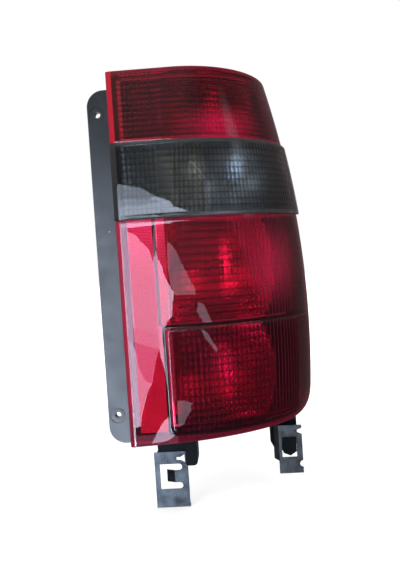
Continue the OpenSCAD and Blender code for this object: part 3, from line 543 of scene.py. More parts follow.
def silver_material(name, base, rough):
    """Vacuum metallised plastic with a slight orange peel."""
    material, t, bsdf = new_material(name)
    cloud = t.noise(25.0)
    t.feed(bsdf, {
        "Base Color": t.mix(cloud, rgba(base), rgba(base, 0.88)),
        "Metallic": 1.0,
        "Roughness": t.ramp(cloud, 0.3, 0.7, rough, rough + 0.06),
        "Normal": t.bump(t.noise(300.0, 2.0), 0.15, 0.0002),
    })
    return material


def glass_material(name, tint):
    """Thin clear glass with a little haze."""
    material, t, bsdf = new_material(name)
    haze = t.noise(120.0)
    t.feed(bsdf, {
        "Base Color": t.mix(haze, rgba(tint), rgba(tint, 0.93)),
        "Transmission Weight": 1.0,
        "IOR": 1.5,
        "Roughness": t.ramp(haze, 0.5, 0.9, 0.0, 0.08),
    })
    return material


# ---- settings
class LensSettings(bpy.types.PropertyGroup):
    wall: bpy.props.FloatProperty(
        name="Lens wall", description="Wall thickness of the lenses", default=0.0026, unit="LENGTH")
    cell_w: bpy.props.FloatProperty(
        name="Cell width", description="Width of one pillow of the optics", default=0.0043, unit="LENGTH")
    upper_cell_h: bpy.props.FloatProperty(
        name="Upper cell height", description="Height of a pillow in the upper lens", default=0.0049, unit="LENGTH")
    middle_cell_h: bpy.props.FloatProperty(
        name="Middle cell height", description="Height of a pillow in the smoked lens", default=0.0059, unit="LENGTH")
    lower_cell_h: bpy.props.FloatProperty(
        name="Lower cell height", description="Height of a pillow in the lower lens", default=0.007, unit="LENGTH")
    flute_depth: bpy.props.FloatProperty(
        name="Flute depth", description="How far a pillow bulges across", default=0.0007, unit="LENGTH")
    pillow_depth: bpy.props.FloatProperty(
        name="Pillow depth", description="How far a pillow bulges up and down", default=0.0008, unit="LENGTH")
    red: bpy.props.FloatVectorProperty(
        name="Red", description="Tint of the lower lens", default=(0.5, 0.022, 0.09), subtype="COLOR")
    dark_red: bpy.props.FloatVectorProperty(
        name="Dark red", description="Tint of the upper lens", default=(0.43, 0.022, 0.075), subtype="COLOR")
    smoke: bpy.props.FloatVectorProperty(
        name="Smoke", description="Tint of the smoked band", default=(0.26, 0.3, 0.32), subtype="COLOR")


class BodySettings(bpy.types.PropertyGroup):
    housing: bpy.props.FloatVectorProperty(
        name="Housing", description="Colour of the moulded body", default=(0.007, 0.009, 0.011), subtype="COLOR")
    zinc: bpy.props.FloatVectorProperty(
        name="Zinc", description="Colour of the sheet metal clips", default=(0.09, 0.103, 0.113), subtype="COLOR")
    carrier: bpy.props.FloatVectorProperty(
        name="Carrier", description="Colour of the lamp carrier", default=(0.72, 0.72, 0.68), subtype="COLOR")
    prism_pitch: bpy.props.FloatProperty(
        name="Prism pitch", description="Distance between the reflex prisms", default=0.0026, unit="LENGTH")


class StageSettings(bpy.types.PropertyGroup):
    floor_z: bpy.props.FloatProperty(
        name="Floor height", description="Height of the floor", default=CAD_BOX[0][2] - 0.0002, unit="LENGTH")
    sky: bpy.props.FloatProperty(
        name="Sky card", description="Brightness of the card that the flat front mirrors", default=8.3, min=0.0)
    room: bpy.props.FloatProperty(
        name="Room level", description="Brightness of the room behind the camera", default=0.08, min=0.0)
    inner: bpy.props.FloatProperty(
        name="Inner level", description="Brightness of the room as the lamp chambers see it", default=0.4, min=0.0)
    light: bpy.props.FloatProperty(
        name="Diffuse level", description="Brightness of the even light all round", default=0.6, min=0.0)


# ---- lenses
def level(z):
    return lambda s: np.full(len(s), float(z))


def flat_out(value):
    return lambda s, z: np.full(len(s), float(value))


def smooth(t):
    t = np.clip(t, 0, 1)
    return t * t * (3 - 2 * t)


def arc_mm(s):
    return np.where(s <= BEND_FROM, s, BEND_FROM + (s - BEND_FROM) / BEND_SPAN * BEND_ARC)


def window_low(s):
    return np.maximum(WINDOW_BOTTOM, bottom_at(s) + WINDOW_FOOT)


def window_inside(s, z):
    """Distance in mm from the border of the raised window, positive inside, with rounded corners."""
    u = arc_mm(s)
    left, right = u - WINDOW_LEFT, float(arc_mm(WINDOW_LAST)) - u
    dx = np.minimum(left, right)
    dz = np.minimum(z - window_low(s), WINDOW_TOP - z)
    r = np.where(left < right, WINDOW_R_LEFT, WINDOW_R_RIGHT)
    corner = r - np.hypot(np.maximum(r - dx, 0), np.maximum(r - dz, 0))
    return np.where((dx < r) & (dz < r), corner, np.minimum(dx, dz))


def window_out(s, z):
    return WINDOW_PROUD * smooth(window_inside(s, z) / WINDOW_SLOPE)


def frame_shade(s, z):
    """1 where painted shade darkens the frame on and beside the slope of the raised window, 0 elsewhere."""
    inside = window_inside(s, z)
    return smooth((inside - FRAME_OUT) / 0.8) * smooth((FRAME_IN - inside) / 0.6)


def edge_rows(z_of, face_out, r, sign, steps=4):
    """Rows of a rounded edge of radius r, from the face round to the rim. sign is 1 above, -1 below."""
    rows = []
    for k in range(steps + 1):
        a = math.pi / 2 * k / steps
        rise, fall = r * math.sin(a), r * (1 - math.cos(a))
        rows.append((
            lambda s, rise=rise: z_of(s) + sign * (rise - r),
            lambda s, z, fall=fall: face_out(s, z) - fall,
            "edge",
        ))
    return rows


def face_rows(zs, out_of, info=None):
    return [(level(z), out_of, info) for z in zs]


def optic_rows(z_low, z_high, cell_h, out, weights, warp=None):
    """Rows of the inner face: a whole number of cells, each in PER_CELL steps."""
    count = max(1, int(round((z_high - z_low) / cell_h))) * PER_CELL
    rows = []
    for k in range(count + 1):
        z = z_low + (z_high - z_low) * k / count
        z_of = level(z) if warp is None else (lambda s, z=z: warp(s, z))
        rows.append((z_of, flat_out(out), {"row": k / PER_CELL, "weights": weights}))
    return rows


# Weights of the optics across and up: pillows that turn into flutes round the bend, plain at both ends of the lens.
def optics_on(s, first, last):
    return ((s > first) & (s < last)).astype(float)


def upper_weights(s, z):
    on = optics_on(s, 22, 152)
    fade = np.clip((s - 118) / 16, 0, 1)
    return on * (0.55 + 0.45 * fade), on * (1.0 - 0.55 * fade)


def middle_weights(s, z):
    on = optics_on(s, 20, 146)
    fade = np.clip((s - 112) / 20, 0, 1)
    return on * 0.62, on * (0.66 - 0.2 * fade)


def lower_weights(s, z):
    on = optics_on(s, 60, 146)
    flutes = np.clip((s - 86 + 0.2 * z) / 10, 0, 1)
    in_window = WINDOW_TOP - z > 2
    strong_u = on * np.where(in_window, 1.0, 0.35 + 0.65 * flutes)
    strong_v = on * np.where(in_window, 1.0 - 0.5 * flutes, 1.0 - 0.75 * flutes)
    return strong_u, strong_v


def lens_columns(cfg):
    """The wall in mm and the front columns of a lens with their cells."""
    return (cfg.wall / MM, *columns(cfg.cell_w / MM))


def make_upper_lens(cfg):
    wall, s, cells = lens_columns(cfg)
    low = UPPER_SEAM + SEAM_GAP
    plain = flat_out(0)
    outer = edge_rows(level(low), plain, SEAM_R, -1)[::-1]
    outer += face_rows(np.linspace(low + 4, TOP_Z - 5, 12), plain)
    outer += edge_rows(level(TOP_Z), plain, RIM, 1)
    roof = TOP_Z - wall
    inner = optic_rows(low, roof - SEAM_R, cfg.upper_cell_h / MM, -wall, upper_weights)
    inner += [(level(roof), flat_out(-wall - SEAM_R), None), (level(roof), flat_out(-SEAT), None),
              (level(TOP_Z), flat_out(-SEAT), None)]
    return shell_mesh("upper_lens_optic", s, cells, outer, inner, wall)


def make_middle_lens(cfg):
    wall, s, cells = lens_columns(cfg)
    low, high = LOWER_SEAM + SEAM_GAP, UPPER_SEAM - SEAM_GAP
    proud, back = flat_out(BAND_PROUD), flat_out(-wall)
    outer = edge_rows(level(low), proud, BAND_R, -1)[::-1]
    outer += face_rows(np.linspace(low + 5, high - 5, 12), proud)
    outer += edge_rows(level(high), proud, BAND_R, 1)
    optics_low, optics_high = low + BAND_RIB + 0.5, high - BAND_RIB - 0.5
    inner = face_rows((low, low + BAND_RIB), back)
    inner += optic_rows(optics_low, optics_high, cfg.middle_cell_h / MM, BAND_PROUD - wall, middle_weights)
    inner += face_rows((high - BAND_RIB, high), back)
    return shell_mesh("middle_lens_optic", s, cells, outer, inner, wall)


# Below this height the rows of the lower lens bend with its bottom
WARP_TOP = -138.0


def make_lower_lens(cfg):
    wall, s, cells = lens_columns(cfg)
    high = LOWER_SEAM - SEAM_GAP
    plain = flat_out(0)
    first = BOTTOM_Z + wall + 0.5

    def rim_top(s):
        return bottom_at(s) + RIM

    def slope_top(s):
        return window_low(s) + WINDOW_SLOPE

    def corner_top(s):
        return window_low(s) + WINDOW_CORNER

    def rows_between(low_of, high_of, count, part="window"):
        """Rows on the raised face, evenly spaced up to the upper line, without the lower line."""
        return [(lambda s, t=t: low_of(s) + (high_of(s) - low_of(s)) * t, window_out, part)
                for t in np.linspace(0, 1, count)[1:]]

    outer = edge_rows(bottom_at, plain, RIM, -1)[::-1]
    outer += rows_between(rim_top, window_low, 9, "foot")[:-1]
    outer += rows_between(rim_top, window_low, 2)
    outer += rows_between(window_low, slope_top, 5)
    outer += rows_between(slope_top, corner_top, 8)
    outer += rows_between(corner_top, level(WINDOW_TOP - WINDOW_CORNER), 20)
    outer += rows_between(level(WINDOW_TOP - WINDOW_CORNER), level(WINDOW_TOP - WINDOW_SLOPE), 8)
    outer += rows_between(level(WINDOW_TOP - WINDOW_SLOPE), level(WINDOW_TOP), 5)
    outer += face_rows(np.linspace(WINDOW_TOP, WINDOW_TOP + 4.2, 7)[1:], plain, "window")
    outer += face_rows(np.linspace(WINDOW_TOP + 4.2, high - 4, 16)[1:], plain)
    outer += edge_rows(level(high), plain, SEAM_R, 1)

    def warp(s, z):
        share = np.clip((WARP_TOP - z) / (WARP_TOP - first), 0, 1)
        return z + share * (bottom_at(s) - BOTTOM_Z)

    def ground(s):
        return bottom_at(s) + wall

    inner = [(bottom_at, flat_out(-SEAT), None), (ground, flat_out(-SEAT), None),
             (ground, flat_out(-wall - SEAM_R), None)]
    inner += optic_rows(first, high, cfg.lower_cell_h / MM, -wall, lower_weights, warp)
    return shell_mesh("lower_lens_optic", s, cells, outer, inner, wall)


# The lenses: node, maker, name of the tint setting, slot and look. The glow spots, painted glow of the lamps behind
# the lens, are x, z, half width, half height and haze, the stripes left, right, bottom, top and strength, and inboard
# is a tint with where it begins and is full.
LENSES = (
    ("upper_lens", make_upper_lens, "dark_red", "dark_red_lens", {
        "bright": (1.0, 0.02, 0.15),
        "spots": ((118, 127, 46, 24, 0.46),),
        "satin": 0.2,
        "far_borders": 0.96,
        "rim": (0.8, 0.015, 0.055),
        "inboard": ((0.42, 0.05, 0.08), 75.0, 30.0),
        "stripes": ((22.2, 26.0, 117.5, 172, 0.5), (25, 150, 171.9, 174.6, 0.45), (17, 22.2, 116, 178, 0.15)),
        "rows_from": 114.56,
        "rows_pitch": 4.94,
    }),
    ("middle_lens", make_middle_lens, "smoke", "smoked_lens", {
        "bright": (0.52, 0.58, 0.62),
        "spots": ((110, 64, 52, 34, 0.0), (128, 92, 26, 16, 0.0)),
        "satin": 0.34,
        "far_borders": 0.96,
        "rim": (0.05, 0.053, 0.056),
        "inboard": ((0.15, 0.17, 0.18), 40.0, 22.0),
        "stripes": (),
    }),
    ("lower_lens", make_lower_lens, "red", "red_lens", {
        "bright": (0.92, 0.04, 0.17),
        "spots": ((112, -6, 66, 72, 0.0), (160, -8, 32, 50, 0.36), (110, -98, 34, 24, 0.0)),
        "satin": 0.2,
        "far_borders": 0.82,
        "rim": (0.66, 0.04, 0.11),
        "inboard": ((0.96, 0.2, 0.36), 58.5, 57.5),
        "stripes": ((58, 170, -61.0, -57.4, 0.35), (58, 170, 36.8, 40.2, 0.35), (57.8, 59.4, -130, -66, 0.5)),
        "rows_from": -61.0,
        "rows_pitch": 7.0,
    }),
)


class TAILLIGHT_OT_lenses(bpy.types.Operator):
    """Makes the three lenses with their pillow optics"""
    bl_idname = "taillight.lenses"
    bl_label = "Lenses"

    def execute(self, context):
        cfg = context.scene.taillight_lens
        tree = optics_tree()
        for node, make, tint, slot, look in LENSES:
            obj = make(cfg)
            material = lens_material(slot + "_clear", getattr(cfg, tint), look)
            bake_tree(obj, tree, {
                "Pillow depth": cfg.pillow_depth, "Flute depth": cfg.flute_depth, "Material": material})
            shade(obj, 50)
            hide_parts(node)
            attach(obj, "root")
        return {"FINISHED"}


# ---- reflex strip
# Each plate: left, right, bottom and top in mm. The tall reflex, which is a little wider below, and the narrow strip
# that backs the stop lamp's edge. The prisms run on one grid, so the first field covers both parts of the reflex.
REFLEX_PLATES = ((22.8, 46.0, -60.4, 41.0), (22.8, 49.4, -161.5, -60.4), (49.4, 60.5, -59.5, 41.0))
REFLEX_FIELDS = ((22.8, 46.0, -161.5, 41.0),) + REFLEX_PLATES[1:]
REFLEX_TIP = 3.2
REFLEX_FRONT = 3.6
REFLEX_BACK = 4.6
BOX_FACES = ((0, 2, 3, 1), (4, 5, 7, 6), (0, 1, 5, 4), (2, 6, 7, 3), (0, 4, 6, 2), (1, 3, 7, 5))
# Distance of the rows and size of a prism as shares of the pitch, and the pattern of painted shade in the valleys in
# the material
ROW_SHARE = 0.87
PRISM_SHARE = 0.56
VALLEY_PITCH = 0.0029
VALLEY_TILT = math.radians(-8)


def prism_tree():
    """Sets a small six-sided prism on each point of a staggered grid on the front of the plate."""
    tree = new_geometry_tree("Reflex prisms", [
        ("Prism radius", "NodeSocketFloat", 0.0015),
        ("Prism height", "NodeSocketFloat", 0.0008),
        ("Material", "NodeSocketMaterial", None),
    ])
    t = Tree(tree)
    source = t.add("NodeGroupInput")
    cone = t.add("GeometryNodeMeshCone", {
        "Vertices": 6, "Radius Top": 0.0, "Radius Bottom": source.outputs["Prism radius"],
        "Depth": source.outputs["Prism height"],
    })
    turned = t.add("GeometryNodeTransform", {"Geometry": cone.outputs["Mesh"], "Rotation": (math.pi / 2, 0.0, 0.0)})
    points = t.add("GeometryNodeMeshToPoints", {"Mesh": source.outputs["Geometry"]})
    placed = t.add("GeometryNodeInstanceOnPoints", {
        "Points": points.outputs["Points"], "Instance": turned.outputs["Geometry"],
    })
    close_tree(t, placed.outputs["Instances"], source.outputs["Material"])
    return tree


def reflex_material():
    """Red prismatic plastic: tilted rows of tiny prisms with painted shade in their valleys, paler towards the top.
    """
    material, t, bsdf = new_material("reflex_prisms")
    place = t.place()
    turned = t.add("ShaderNodeMapping", {"Vector": place, "Rotation": (0.0, VALLEY_TILT, 0.0)}).outputs[0]
    x, _, z = t.xyz(turned)

    def valley(value, power):
        return t.math("POWER", t.to_border(t.over(value, VALLEY_PITCH)), power)

    # Painted shade in the valleys between the prism rows
    dark = t.math("MAXIMUM", valley(z, 1.6), t.times(valley(x, 3.0), 0.3))
    drift = t.noise(60.0, 2.0)
    height = t.xyz(place)[2]
    low = t.mix(t.ramp(drift, 0.35, 0.65), (0.52, 0.012, 0.13, 1.0), (0.45, 0.01, 0.1, 1.0))
    colour = t.mix(t.ramp(height, -0.02, 0.035), low, (0.84, 0.54, 0.66, 1.0))
    foot = t.times(t.ramp(height, -0.1, -0.15), 0.45)
    colour = t.mix(foot, colour, (0.5, 0.01, 0.07, 1.0))
    t.feed(bsdf, {
        "Base Color": t.mix(t.times(dark, 0.38), colour, (0.36, 0.01, 0.06, 1.0)),
        "Metallic": 0.15,
        "Roughness": t.ramp(drift, 0.3, 0.7, 0.35, 0.45),
    })
    return material


def prism_places(pitch):
    """Points of the staggered grid in mm, row by row, that lie far enough inside one of the fields."""
    margin = pitch * PRISM_SHARE
    row_pitch = pitch * ROW_SHARE
    x_from, x_to = REFLEX_FIELDS[0][0], REFLEX_FIELDS[-1][1]
    z_from, z_to = REFLEX_FIELDS[0][2:]
    places = []
    for r in range(int((z_to - z_from) / row_pitch)):
        z = z_from + margin + r * row_pitch
        for c in range(int((x_to - x_from) / pitch)):
            x = x_from + margin + (c + 0.5 * (r % 2)) * pitch
            if any(left + margin <= x + 0.01 and x <= right - margin
                   and low + margin <= z + 0.01 and z <= high - margin
                   for left, right, low, high in REFLEX_FIELDS):
                places.append((x, z))
    return places


def plate_boxes():
    """Corners in metres and faces of the plates behind the prisms."""
    corners, faces = [], []
    for left, right, low, high in REFLEX_PLATES:
        faces += [tuple(len(corners) + i for i in f) for f in BOX_FACES]
        corners += [(x * MM, (y - SEAT) * MM, z * MM)
                    for z in (low, high) for y in (REFLEX_FRONT, REFLEX_BACK) for x in (left, right)]
    return corners, faces


class TAILLIGHT_OT_reflex(bpy.types.Operator):
    """Makes the reflex strip with its rows of prisms"""
    bl_idname = "taillight.reflex"
    bl_label = "Reflex strip"

    def execute(self, context):
        pitch = context.scene.taillight_body.prism_pitch / MM
        places = [(x * MM, (REFLEX_FRONT - SEAT) * MM, z * MM) for x, z in prism_places(pitch)]
        obj = add_mesh("reflex_strip", places, [])
        material = reflex_material()
        bake_tree(obj, prism_tree(), {
            "Prism radius": pitch * PRISM_SHARE * MM,
            "Prism height": (REFLEX_FRONT - REFLEX_TIP) * MM,
            "Material": material,
        })
        corners, faces = plate_boxes()
        base = len(obj.data.vertices)
        verts = [tuple(v.co) for v in obj.data.vertices] + corners
        polys = [tuple(p.vertices) for p in obj.data.polygons] + [tuple(base + i for i in f) for f in faces]
        whole = bpy.data.meshes.new("reflex_strip")
        whole.from_pydata(verts, [], polys)
        whole.materials.append(material)
        obj.data = whole
        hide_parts("reflex_reflector")
        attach(obj, "root")
        return {"FINISHED"}


# ---- finishes of the CAD nodes
REPLACED = {"reflex_reflector"} | {node for node, *_ in LENSES}


class TAILLIGHT_OT_finishes(bpy.types.Operator):
    """Gives each CAD node its finish"""
    bl_idname = "taillight.finishes"
    bl_label = "Finishes"

    def execute(self, context):
        cfg = context.scene.taillight_body
        housing, zinc, carrier = cfg.housing, cfg.zinc, cfg.carrier
        finishes = {
            "housing_plastic": plastic_material(
                "housing_plastic_moulded", housing, rgba(housing, 1.6), 0.34,
                speck=(0.5, 0.52, 0.55), speck_share=0.007, dull=(0.03, -0.174)),
            "silvered": silver_material("silvered_reflector", (0.9, 0.9, 0.9), 0.06),
            "carrier_plastic": plastic_material("carrier_plastic_moulded", carrier, rgba(carrier, 0.85), 0.4),
            "foam": plastic_material("foam_seal", (0.012, 0.012, 0.013), (0.03, 0.03, 0.03), 0.85, grain=1500.0,
                                     grain_depth=0.0003),
            "left_clip": metal_material(
                "zinc_sheet_left", rgba(zinc, 0.72), rgba(zinc, 0.2), 0.38, scale=95.0, speck=(0.12, 0.12, 0.12)),
            "right_clip": metal_material(
                "zinc_sheet_right", rgba(zinc, 2.1), (0.075, 0.072, 0.064), 0.38, scale=95.0, speck=(0.3, 0.3, 0.3)),
            "clear_glass": glass_material("clear_glass_bulb", (0.95, 0.96, 0.97)),
            "amber_glass": glass_material("amber_glass_bulb", (0.94, 0.8, 0.62)),
            "bulb_cap": metal_material("bulb_cap_nickel", (0.62, 0.58, 0.48), (0.4, 0.37, 0.3), 0.3),
            "filament": metal_material("filament_wire", (0.4, 0.4, 0.41), (0.2, 0.2, 0.2), 0.4),
            "track_brass": metal_material("track_brass_stamped", (0.62, 0.42, 0.14), (0.38, 0.24, 0.09), 0.3),
        }
        for entry in frame["record"]["subparts"]:
            if entry["node"] in REPLACED:
                continue
            material = finishes.get(entry["node"]) or finishes.get(entry["material_slot"])
            node = frame["nodes"].get(entry["node"])
            if not (material and node):
                raise RuntimeError("no finish or no mesh for " + entry["node"])
            node.data.materials.clear()
            node.data.materials.append(material)
        return {"FINISHED"}


# ---- stage
CAMERA_AT = (0.12278, -0.66330, 0.00239)
CAMERA_YAW = -3.028
CAMERA_PITCH = -2.242
CAMERA_ROLL = -3.748
FOCAL_PX = 693.0
FRAME_H = 570.0
SENSOR = 36.0


def camera_matrix():
    yaw, pitch, roll = (math.radians(v) for v in (CAMERA_YAW, CAMERA_PITCH, CAMERA_ROLL))
    d = Vector((math.sin(yaw) * math.cos(pitch), math.cos(yaw) * math.cos(pitch), math.sin(pitch)))
    r0 = Vector((math.cos(yaw), -math.sin(yaw), 0))
    u0 = r0.cross(d)
    r = r0 * math.cos(roll) + u0 * math.sin(roll)
    u = -r0 * math.sin(roll) + u0 * math.cos(roll)
    m = Matrix((r, u, -d)).transposed().to_4x4()
    m.translation = Vector(CAMERA_AT)
    return m


# Cards in front of the lamp, outlines in mm. Only gloss sees them, and clear plastic the main ones
CARD_Y = -673.0
CARD_TINT = (0.83, 0.95, 1.17)
# The open sky that the flat front mirrors
SKY_CARD = (
    (-330, 150), (-96, 152), (-71, 148), (-47, 141), (-18, 124), (49, 101), (221, 84), (221, 76), (-78, 69),
    (-75, 60), (-64, 56), (-58, 51), (-53, 42), (-45, 34), (-39, 26), (-35, 14), (-31, -3), (-29, 8), (-25, 22),
    (-22, 4), (-16, -10), (-14, -25), (-4, -41), (8, -53), (36, -61), (35, -69), (25, -80), (20, -94), (16, -106),
    (-8, -110), (-15, -116), (-21, -134), (-24, -149), (-23, -178), (-20, -226), (-20, -255), (-26, -202),
    (-33, -164), (-39, -185), (-46, -209), (-51, -231), (-60, -250), (-67, -272), (-72, -288), (-79, -313),
    (-87, -315), (-89, -335), (-95, -340), (-96, -352), (-112, -360), (-112, -700), (-330, -700),
)
SKY_FOOT = (
    (-25, -297), (-37, -309), (-44, -320), (-51, -333), (-59, -348), (-18, -342), (32, -337), (6, -330),
    (-9, -314),
)
# Cards in front of parts of the sky card, which set how bright those are: outline and share of its brightness
DIM_CARDS = (
    (((-77.6, 69),) + SKY_CARD[9:17] + ((-30.8, -171),) + SKY_CARD[37:44] + ((-77.6, -313),), 0.43),
    (((-30.8, -3),) + SKY_CARD[17:22] + ((-6, -38), (-6, -110)) + SKY_CARD[29:35] + ((-30.8, -171),), 0.72),
    (((-83, -148), (-77, -175), (-72, -196), (-68, -211), (-63, -224)) + SKY_CARD[40:37:-1] + ((-34, -166),), 0.09),
    (((-83, -120), (-83, -148), (-34, -166), (-33, -140)), 0.32),
    (SKY_CARD[:5] + ((-35, 118), (-330, 128)), 0.5),
    (((-330, 128), (-35, 118), (0, 114), (-60, 106), (-330, 112)), 0.75),
    (((-96, 69), (-78, 69), (-79, -150), (-92, -150)), 0.7),
)
# Stronger parts low down that the foot of the flange mirrors
FOOT_CARDS = (
    (((-330, -250), (-104, -250), (-118, -360), (-118, -700), (-330, -700)), 1.3),
    (((-330, -345), (-130, -345), (-130, -700), (-330, -700)), 3.2),
)
# Bright gaps beside the sky
GAP_CARDS = (
    ((-27, 70), (-22, 70), (-22, 30), (-25, 24), (-30, 0), (-30, 42)),
    ((0, 36), (45, 23), (84, 6), (116, -10), (163, -30), (201, -49), (249, -66), (247, -76), (131, -72), (51, -69),
     (36, -61), (4, -45), (-2, -13)),
    ((271, -93), (334, -103), (416, -143), (315, -136), (256, -112)),
    ((278, -145), (350, -159), (470, -208), (444, -210), (326, -169)),
    ((49, -270), (112, -273), (193, -286), (165, -293), (183, -299), (137, -308), (109, -319), (55, -321),
     (56, -297)),
    ((250, 182), (330, 180), (470, 160), (380, 168)),
)
# A soft round glare far to the right that faces the lamp
GLARE_AT = (953.0, -315.0, 300.0)
GLARE_AIM = (120.0, 0.0, 80.0)
GLARE_R = 210.0
# A dull card behind the lamp that its far edge mirrors
EDGE_CARD = ((150, 1200, -900), (2600, 1200, -900), (2600, 1200, 1500), (150, 1200, 1500))
WHITE = (1.0, 1.0, 1.0, 1.0)
FLOOR_NEAR = -0.16
FLOOR_FAR = 7.0
# Soft lamps in metres: name, place, aim, size and power
LAMPS = (
    ("key_light", (-0.55, -0.95, 0.85), (0.09, 0.03, 0.0), 0.7, 8.0),
    ("fill_light", (0.9, -0.6, 0.3), (0.09, 0.03, 0.0), 0.6, 2.0),
    ("rear_light", (0.5, 1.1, 0.7), (0.09, 0.05, 0.0), 0.8, 6.0),
)


def stage_world(context, cfg):
    """White for the camera and behind the lamp, else a dim room whose level depends on the kind of ray."""
    world = bpy.data.worlds.new("Studio")
    context.scene.world = world
    world.use_nodes = True
    t = Tree(world.node_tree)
    t.tree.nodes.clear()
    x, y, z = t.xyz(t.add("ShaderNodeTexCoord").outputs["Generated"])
    path = t.add("ShaderNodeLightPath").outputs
    behind = t.ramp(y, 0.86, 0.97)
    above_floor = t.ramp(z, -0.14, 0.0)
    up = t.times(t.ramp(z, 0.1, 0.3), t.ramp(x, 0.6, 0.25))
    room = t.mix(above_floor, rgba((1.0, 1.0, 1.05), cfg.room), rgba((3.0, 2.9, 3.0), cfg.room))
    side = t.mix(above_floor, rgba((0.9, 0.65, 0.6), cfg.room), rgba((2.4, 1.9, 1.8), cfg.room))
    room = t.mix(t.ramp(x, 0.3, 0.8), room, side)
    room = t.mix(up, room, rgba((5.5, 5.1, 5.0), cfg.room))
    seen = t.mix(behind, room, WHITE)
    lit = t.mix(path["Is Diffuse Ray"], seen, rgba((1.0, 1.0, 1.02), cfg.light))
    front = t.times(t.ramp(z, 0.2, 0.5), t.ramp(y, 0.1, -0.3))
    through = t.mix(front, rgba((1.0, 0.95, 0.97), cfg.inner), rgba((2.4, 2.3, 2.35), cfg.inner))
    through = t.mix(behind, through, WHITE)
    lit = t.mix(path["Is Transmission Ray"], lit, through)
    shown = t.mix(path["Is Camera Ray"], lit, WHITE)
    background = t.add("ShaderNodeBackground", {"Color": shown})
    t.add("ShaderNodeOutputWorld", {"Surface": background.outputs[0]})


def stage_card(name, polygons, colour, strength, centre=None, radius=1.0, in_clear=True):
    """A glowing card that only gloss and, if asked, clear plastic can see. With a centre it fades to its radius."""
    verts, faces = [], []
    for polygon in polygons:
        faces.append(tuple(range(len(verts), len(verts) + len(polygon))))
        verts += [tuple(v * MM for v in p) for p in polygon]
    card = add_mesh(name, verts, faces)
    material, t, _ = new_material(name)
    t.tree.nodes.clear()
    power, share = strength, 1.0
    if centre:
        middle = tuple(v * MM for v in centre)
        far = t.add("ShaderNodeVectorMath", {0: t.place(), 1: middle}, operation="DISTANCE").outputs["Value"]
        power = t.ramp(far, 0.0, radius * MM, strength, 0.0)
        share = t.ramp(far, radius * MM * 0.5, radius * MM, 1.0, 0.0)
    glow = t.add("ShaderNodeEmission", {"Color": rgba(colour), "Strength": power})
    clear = t.add("ShaderNodeBsdfTransparent")
    mixed = t.add("ShaderNodeMixShader", {0: share, 1: clear.outputs[0], 2: glow.outputs[0]})
    t.add("ShaderNodeOutputMaterial", {"Surface": mixed.outputs[0]})
    card.data.materials.append(material)
    card.visible_camera = card.visible_diffuse = card.visible_shadow = False
    card.visible_transmission = in_clear
    return card


def stage_floor(height):
    """Pale paper that turns white with distance."""
    corners = ((-FLOOR_FAR, FLOOR_NEAR), (FLOOR_FAR, FLOOR_NEAR), (FLOOR_FAR, FLOOR_FAR), (-FLOOR_FAR, FLOOR_FAR))
    floor = add_mesh("floor", [(x, y, height) for x, y in corners], [(0, 1, 2, 3)])
    material, t, bsdf = new_material("floor_paper")
    paper = t.mix(t.noise(40.0, 4.0), rgba((0.84, 0.84, 0.84)), rgba((0.8, 0.8, 0.8)))
    seen = t.add("ShaderNodeLightPath").outputs["Is Camera Ray"]
    lift = t.plus(t.times(t.ramp(t.xyz(t.place())["Y"], 0.3, 0.9), 0.6), 0.45)
    t.feed(bsdf, {
        "Base Color": paper,
        "Roughness": 0.9,
        "Emission Color": WHITE,
        "Emission Strength": t.times(seen, lift),
    })
    floor.data.materials.append(material)
    floor.visible_glossy = floor.visible_transmission = False
    return floor


def stage_cards(sky):
    """All cards; sky is the brightness of the main one."""
    def upright(outline, back=0.0):
        return [(x, CARD_Y + back, z) for x, z in outline]

    centre, r = Vector(GLARE_AT), GLARE_R
    side = (centre - Vector(GLARE_AIM)).normalized().cross(Vector((0, 0, 1))).normalized()
    glare = [[(centre.x + side.x * a, centre.y + side.y * a, centre.z + b)
              for a, b in ((-r, -r), (r, -r), (r, r), (-r, r))]]
    gaps = [upright(outline, 2) for outline in GAP_CARDS]
    cards = [
        stage_card("sky_card", [upright(SKY_CARD)], CARD_TINT, sky),
        stage_card("gap_cards", gaps, (1.0, 0.95, 1.15), sky * 0.26),
        stage_card("glare_card", glare, (0.9, 0.95, 1.0), sky * 0.16, GLARE_AT, GLARE_R),
        stage_card("sky_foot", [upright(SKY_FOOT)], CARD_TINT, sky * 0.8),
        stage_card("edge_card", [EDGE_CARD], (0.16, 0.12, 0.118), 1.0),
    ]
    for k, (outline, share) in enumerate(DIM_CARDS + FOOT_CARDS):
        polygons = [upright(outline, 1 + k)]
        cards.append(stage_card("dim_card_%d" % k, polygons, CARD_TINT, sky * share, in_clear=False))
    return cards


def stage_lamps():
    for name, place, aim, size, power in LAMPS:
        lamp = bpy.data.lights.new(name, "AREA")
        lamp.size = size
        lamp.energy = power
        obj = add_object(name, lamp)
        obj.location = place
        obj.rotation_mode = "QUATERNION"
        obj.rotation_quaternion = (Vector(aim) - Vector(place)).to_track_quat("-Z", "Y")
        obj.visible_camera = obj.visible_glossy = False


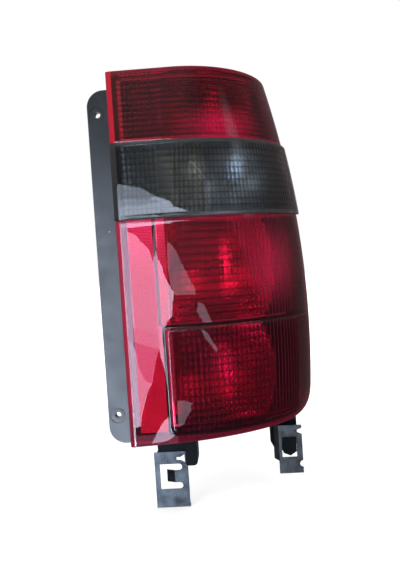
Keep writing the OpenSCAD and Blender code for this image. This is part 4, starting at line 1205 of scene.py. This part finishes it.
def stage_camera(context):
    data = bpy.data.cameras.new("camera")
    data.sensor_width = SENSOR
    data.lens = FOCAL_PX / FRAME_H * SENSOR
    data.clip_start, data.clip_end = 0.01, 50.0
    camera = add_object("camera", data)
    camera.matrix_world = camera_matrix()
    context.scene.camera = camera


class TAILLIGHT_OT_stage(bpy.types.Operator):
    """Sets the room, the floor, the cards, the lamps and the camera"""
    bl_idname = "taillight.stage"
    bl_label = "Stage"

    def execute(self, context):
        cfg = context.scene.taillight_stage
        stage_world(context, cfg)
        floor = stage_floor(cfg.floor_z)
        cards = stage_cards(cfg.sky)
        stage_lamps()
        stage_camera(context)
        context.scene.view_settings.view_transform = "Standard"
        return {"FINISHED"}


class TAILLIGHT_PT_panel(bpy.types.Panel):
    """Lists what the tail light is made of"""
    bl_label = "Tail light"
    bl_idname = "TAILLIGHT_PT_panel"
    bl_space_type = "VIEW_3D"
    bl_region_type = "UI"
    bl_category = "Tail light"

    def draw(self, context):
        scene = context.scene
        for group in (scene.taillight_lens, scene.taillight_body, scene.taillight_stage):
            box = self.layout.box()
            for key in group.__annotations__:
                box.prop(group, key)
        for operator in OPERATORS:
            self.layout.operator(operator.bl_idname)


OPERATORS = (TAILLIGHT_OT_lenses, TAILLIGHT_OT_reflex, TAILLIGHT_OT_finishes, TAILLIGHT_OT_stage)
CLASSES = (LensSettings, BodySettings, StageSettings) + OPERATORS + (TAILLIGHT_PT_panel,)


def register():
    for cls in CLASSES:
        bpy.utils.register_class(cls)
    bpy.types.Scene.taillight_lens = bpy.props.PointerProperty(type=LensSettings)
    bpy.types.Scene.taillight_body = bpy.props.PointerProperty(type=BodySettings)
    bpy.types.Scene.taillight_stage = bpy.props.PointerProperty(type=StageSettings)


def unregister():
    for name in ("taillight_lens", "taillight_body", "taillight_stage"):
        delattr(bpy.types.Scene, name)
    for cls in reversed(CLASSES):
        bpy.utils.unregister_class(cls)


def main():
    register()
    bpy.ops.taillight.lenses()
    bpy.ops.taillight.reflex()
    bpy.ops.taillight.finishes()
    bpy.ops.taillight.stage()


if __name__ == "__main__":
    main()
